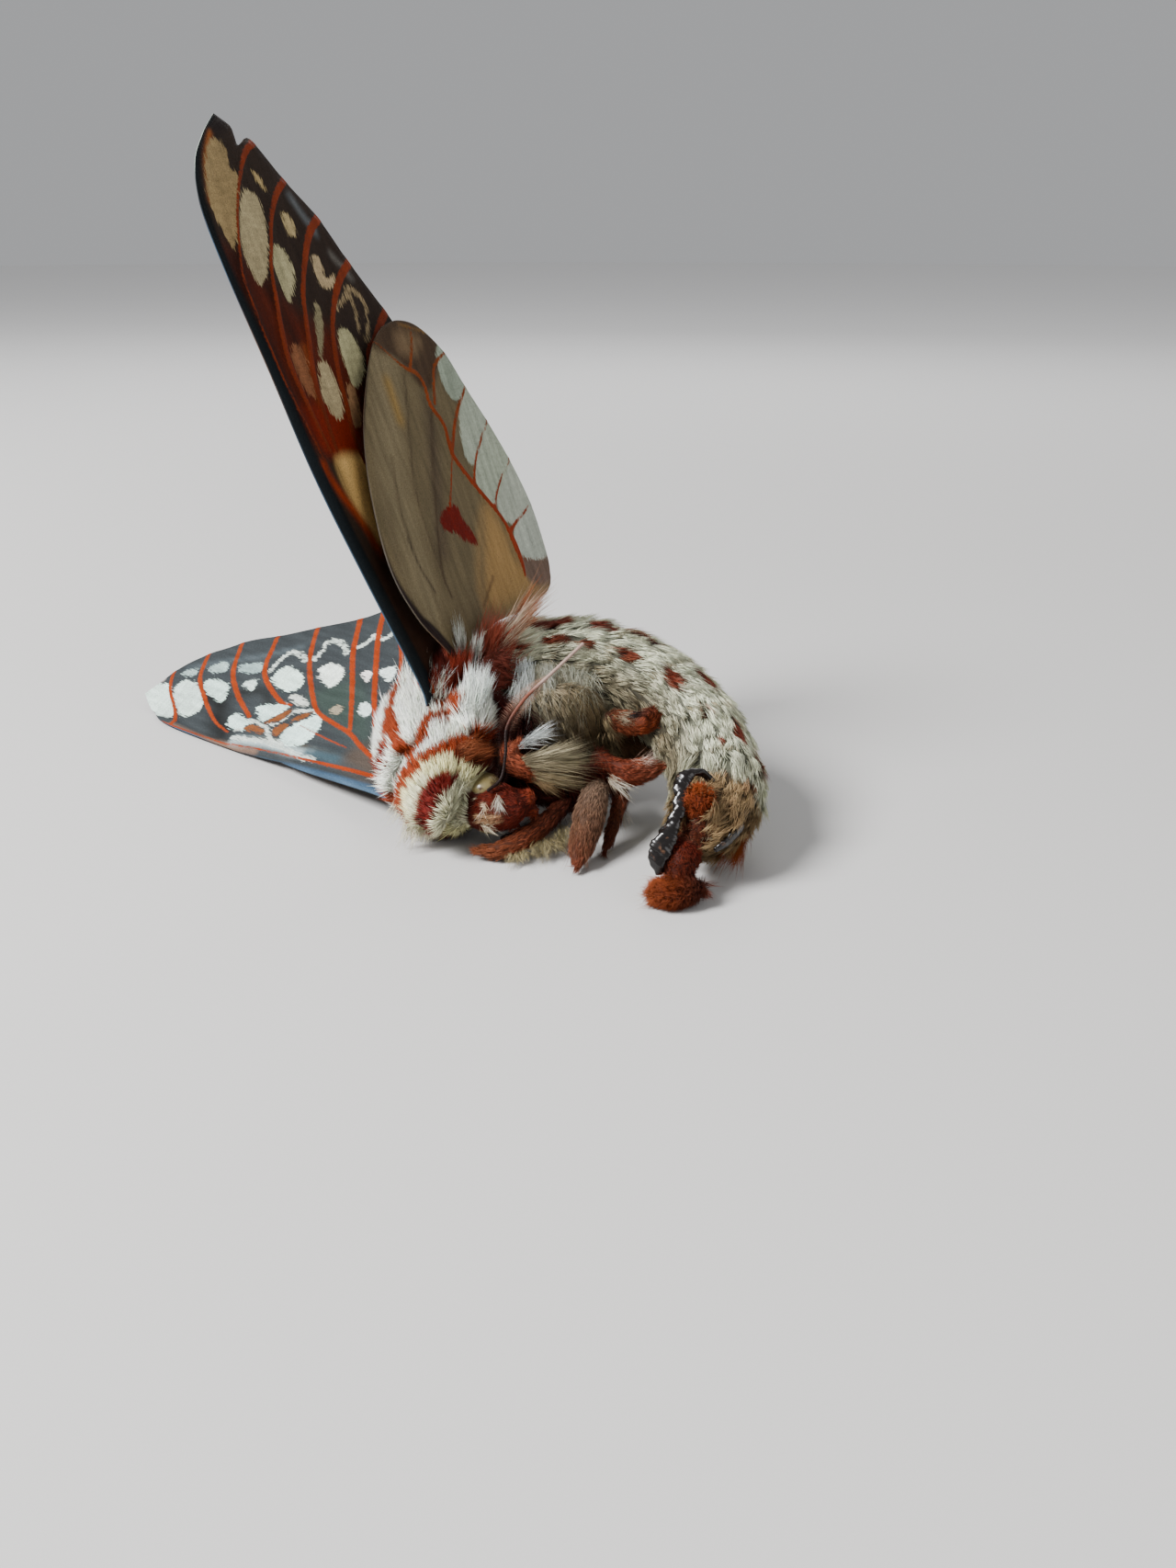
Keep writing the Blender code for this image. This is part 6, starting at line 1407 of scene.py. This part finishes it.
CLASPERS = {
    "clasper_left": ([[(13.9, -10.2, 8.9, 0.30, 0.25), (13.1, -10.3, 9.6, 0.38, 0.25), (12.1, -10.4, 9.7, 0.45, 0.28),
                       (11.4, -10.9, 9.2, 0.66, 0.30)],
                      [(11.5, -10.6, 9.4, 0.55, 0.28), (11.3, -11.4, 8.6, 0.70, 0.30), (11.1, -12.3, 7.6, 0.50, 0.26),
                       (10.7, -13.1, 6.6, 0.55, 0.26), (10.0, -14.0, 5.6, 0.80, 0.30), (9.5, -14.7, 4.5, 0.85, 0.32),
                       (9.2, -15.1, 3.5, 0.60, 0.28), (9.3, -15.3, 2.7, 0.30, 0.20)]], np.array([1.0, -0.2, 0.0])),
    "clasper_right": ([[(16.6, -9.8, 5.2, 0.45, 0.30), (16.3, -11.2, 5.2, 0.62, 0.34), (15.7, -12.3, 4.9, 0.55, 0.30),
                        (14.9, -13.1, 4.4, 0.45, 0.26), (14.1, -13.6, 4.1, 0.22, 0.18)]], Z),
}
for node, (arms, side) in CLASPERS.items():
    parts = []
    for rows in arms:
        shell = rings_along(rows, side, 90, 40)
        middle = shell.mean(axis=1, keepdims=True)
        broken = ragged(shell.reshape(-1, 3), 0.30).reshape(len(shell), 40, 1)
        fine = ragged(shell.reshape(-1, 3) + 3.0, 0.11).reshape(len(shell), 40, 1)
        parts.append(tube(middle + (shell - middle) * (1 + 0.42 * broken + 0.22 * fine)))
    piece = new_piece(node + "_horn", *joined(parts), "clasper_shell")
    piece.data.materials.append(clasper_finish)
    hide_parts(node)


# Floor, light and camera: a pale floor, painted darker near the middle and paler outwards against the
# lamps' falloff, a large soft lamp from the upper left, a weaker one from the right, and the photograph's view.
ring = np.linspace(0, 2 * np.pi, 96, endpoint=False)
floor_mesh = bpy.data.meshes.new("floor")
floor_mesh.from_pydata([(1.6 * np.cos(t), 1.6 * np.sin(t), 0.0) for t in ring], [], [list(range(96))])
floor = bpy.data.objects.new("floor", floor_mesh)
bpy.context.scene.collection.objects.link(floor)
floor_finish, shader = finish_of("floor_paper", 0.9)
place = put(floor_finish, "ShaderNodeTexCoord").outputs["Object"]
away = put(floor_finish, "ShaderNodeVectorMath", [(0, place)], operation="LENGTH").outputs["Value"]
paler = put(floor_finish, "ShaderNodeMapRange", [("Value", away), ("From Min", 0.05), ("From Max", 0.55)],
            interpolation_type="SMOOTHSTEP").outputs["Result"]
# Painted light and shade: darker near the moth, where the lamps light the floor most, paler far out, where their light
# falls off.
shade = mixed(floor_finish, paler, (0.52, 0.51, 0.50, 1), (0.93, 0.92, 0.91, 1))
floor_finish.node_tree.links.new(shade, shader.inputs["Base Color"])
floor_mesh.materials.append(floor_finish)
for name, place, aim, size, power in (("key", (-0.30, -0.15, 0.34), (0.0, 0.0, 0.01), 0.20, 6.4),
                                      ("fill", (0.35, -0.30, 0.25), (0.0, 0.0, 0.01), 0.35, 0.6),
                                      ("rim", (0.05, 0.35, 0.30), (0.0, 0.0, 0.02), 0.25, 0.5)):
    lamp = bpy.data.lights.new(name, "AREA")
    lamp.shape, lamp.size, lamp.energy = "DISK", size, power
    holder = bpy.data.objects.new(name, lamp)
    bpy.context.scene.collection.objects.link(holder)
    back = unit(np.array(place) - np.array(aim))
    right = unit(np.cross([0, 0, 1.0], back))
    turned = np.eye(4)
    turned[:3, 0], turned[:3, 1], turned[:3, 2], turned[:3, 3] = right, np.cross(back, right), back, place
    holder.matrix_world = Matrix(turned.tolist())
world = bpy.data.worlds.new("studio")
world.use_nodes = True
world.node_tree.nodes["Background"].inputs["Color"].default_value = (0.80, 0.81, 0.83, 1)
world.node_tree.nodes["Background"].inputs["Strength"].default_value = 0.50
bpy.context.scene.world = world
lens = bpy.data.cameras.new("view")
lens.lens, lens.sensor_width, lens.clip_start = 36 * 1500 / 1706, 36.0, 0.005
camera = bpy.data.objects.new("view", lens)
camera.location = (0.018057, -0.128097, 0.05321)
camera.rotation_euler = (np.radians(67.5), 0.0, 0.0)
bpy.context.scene.collection.objects.link(camera)
bpy.context.scene.camera = camera
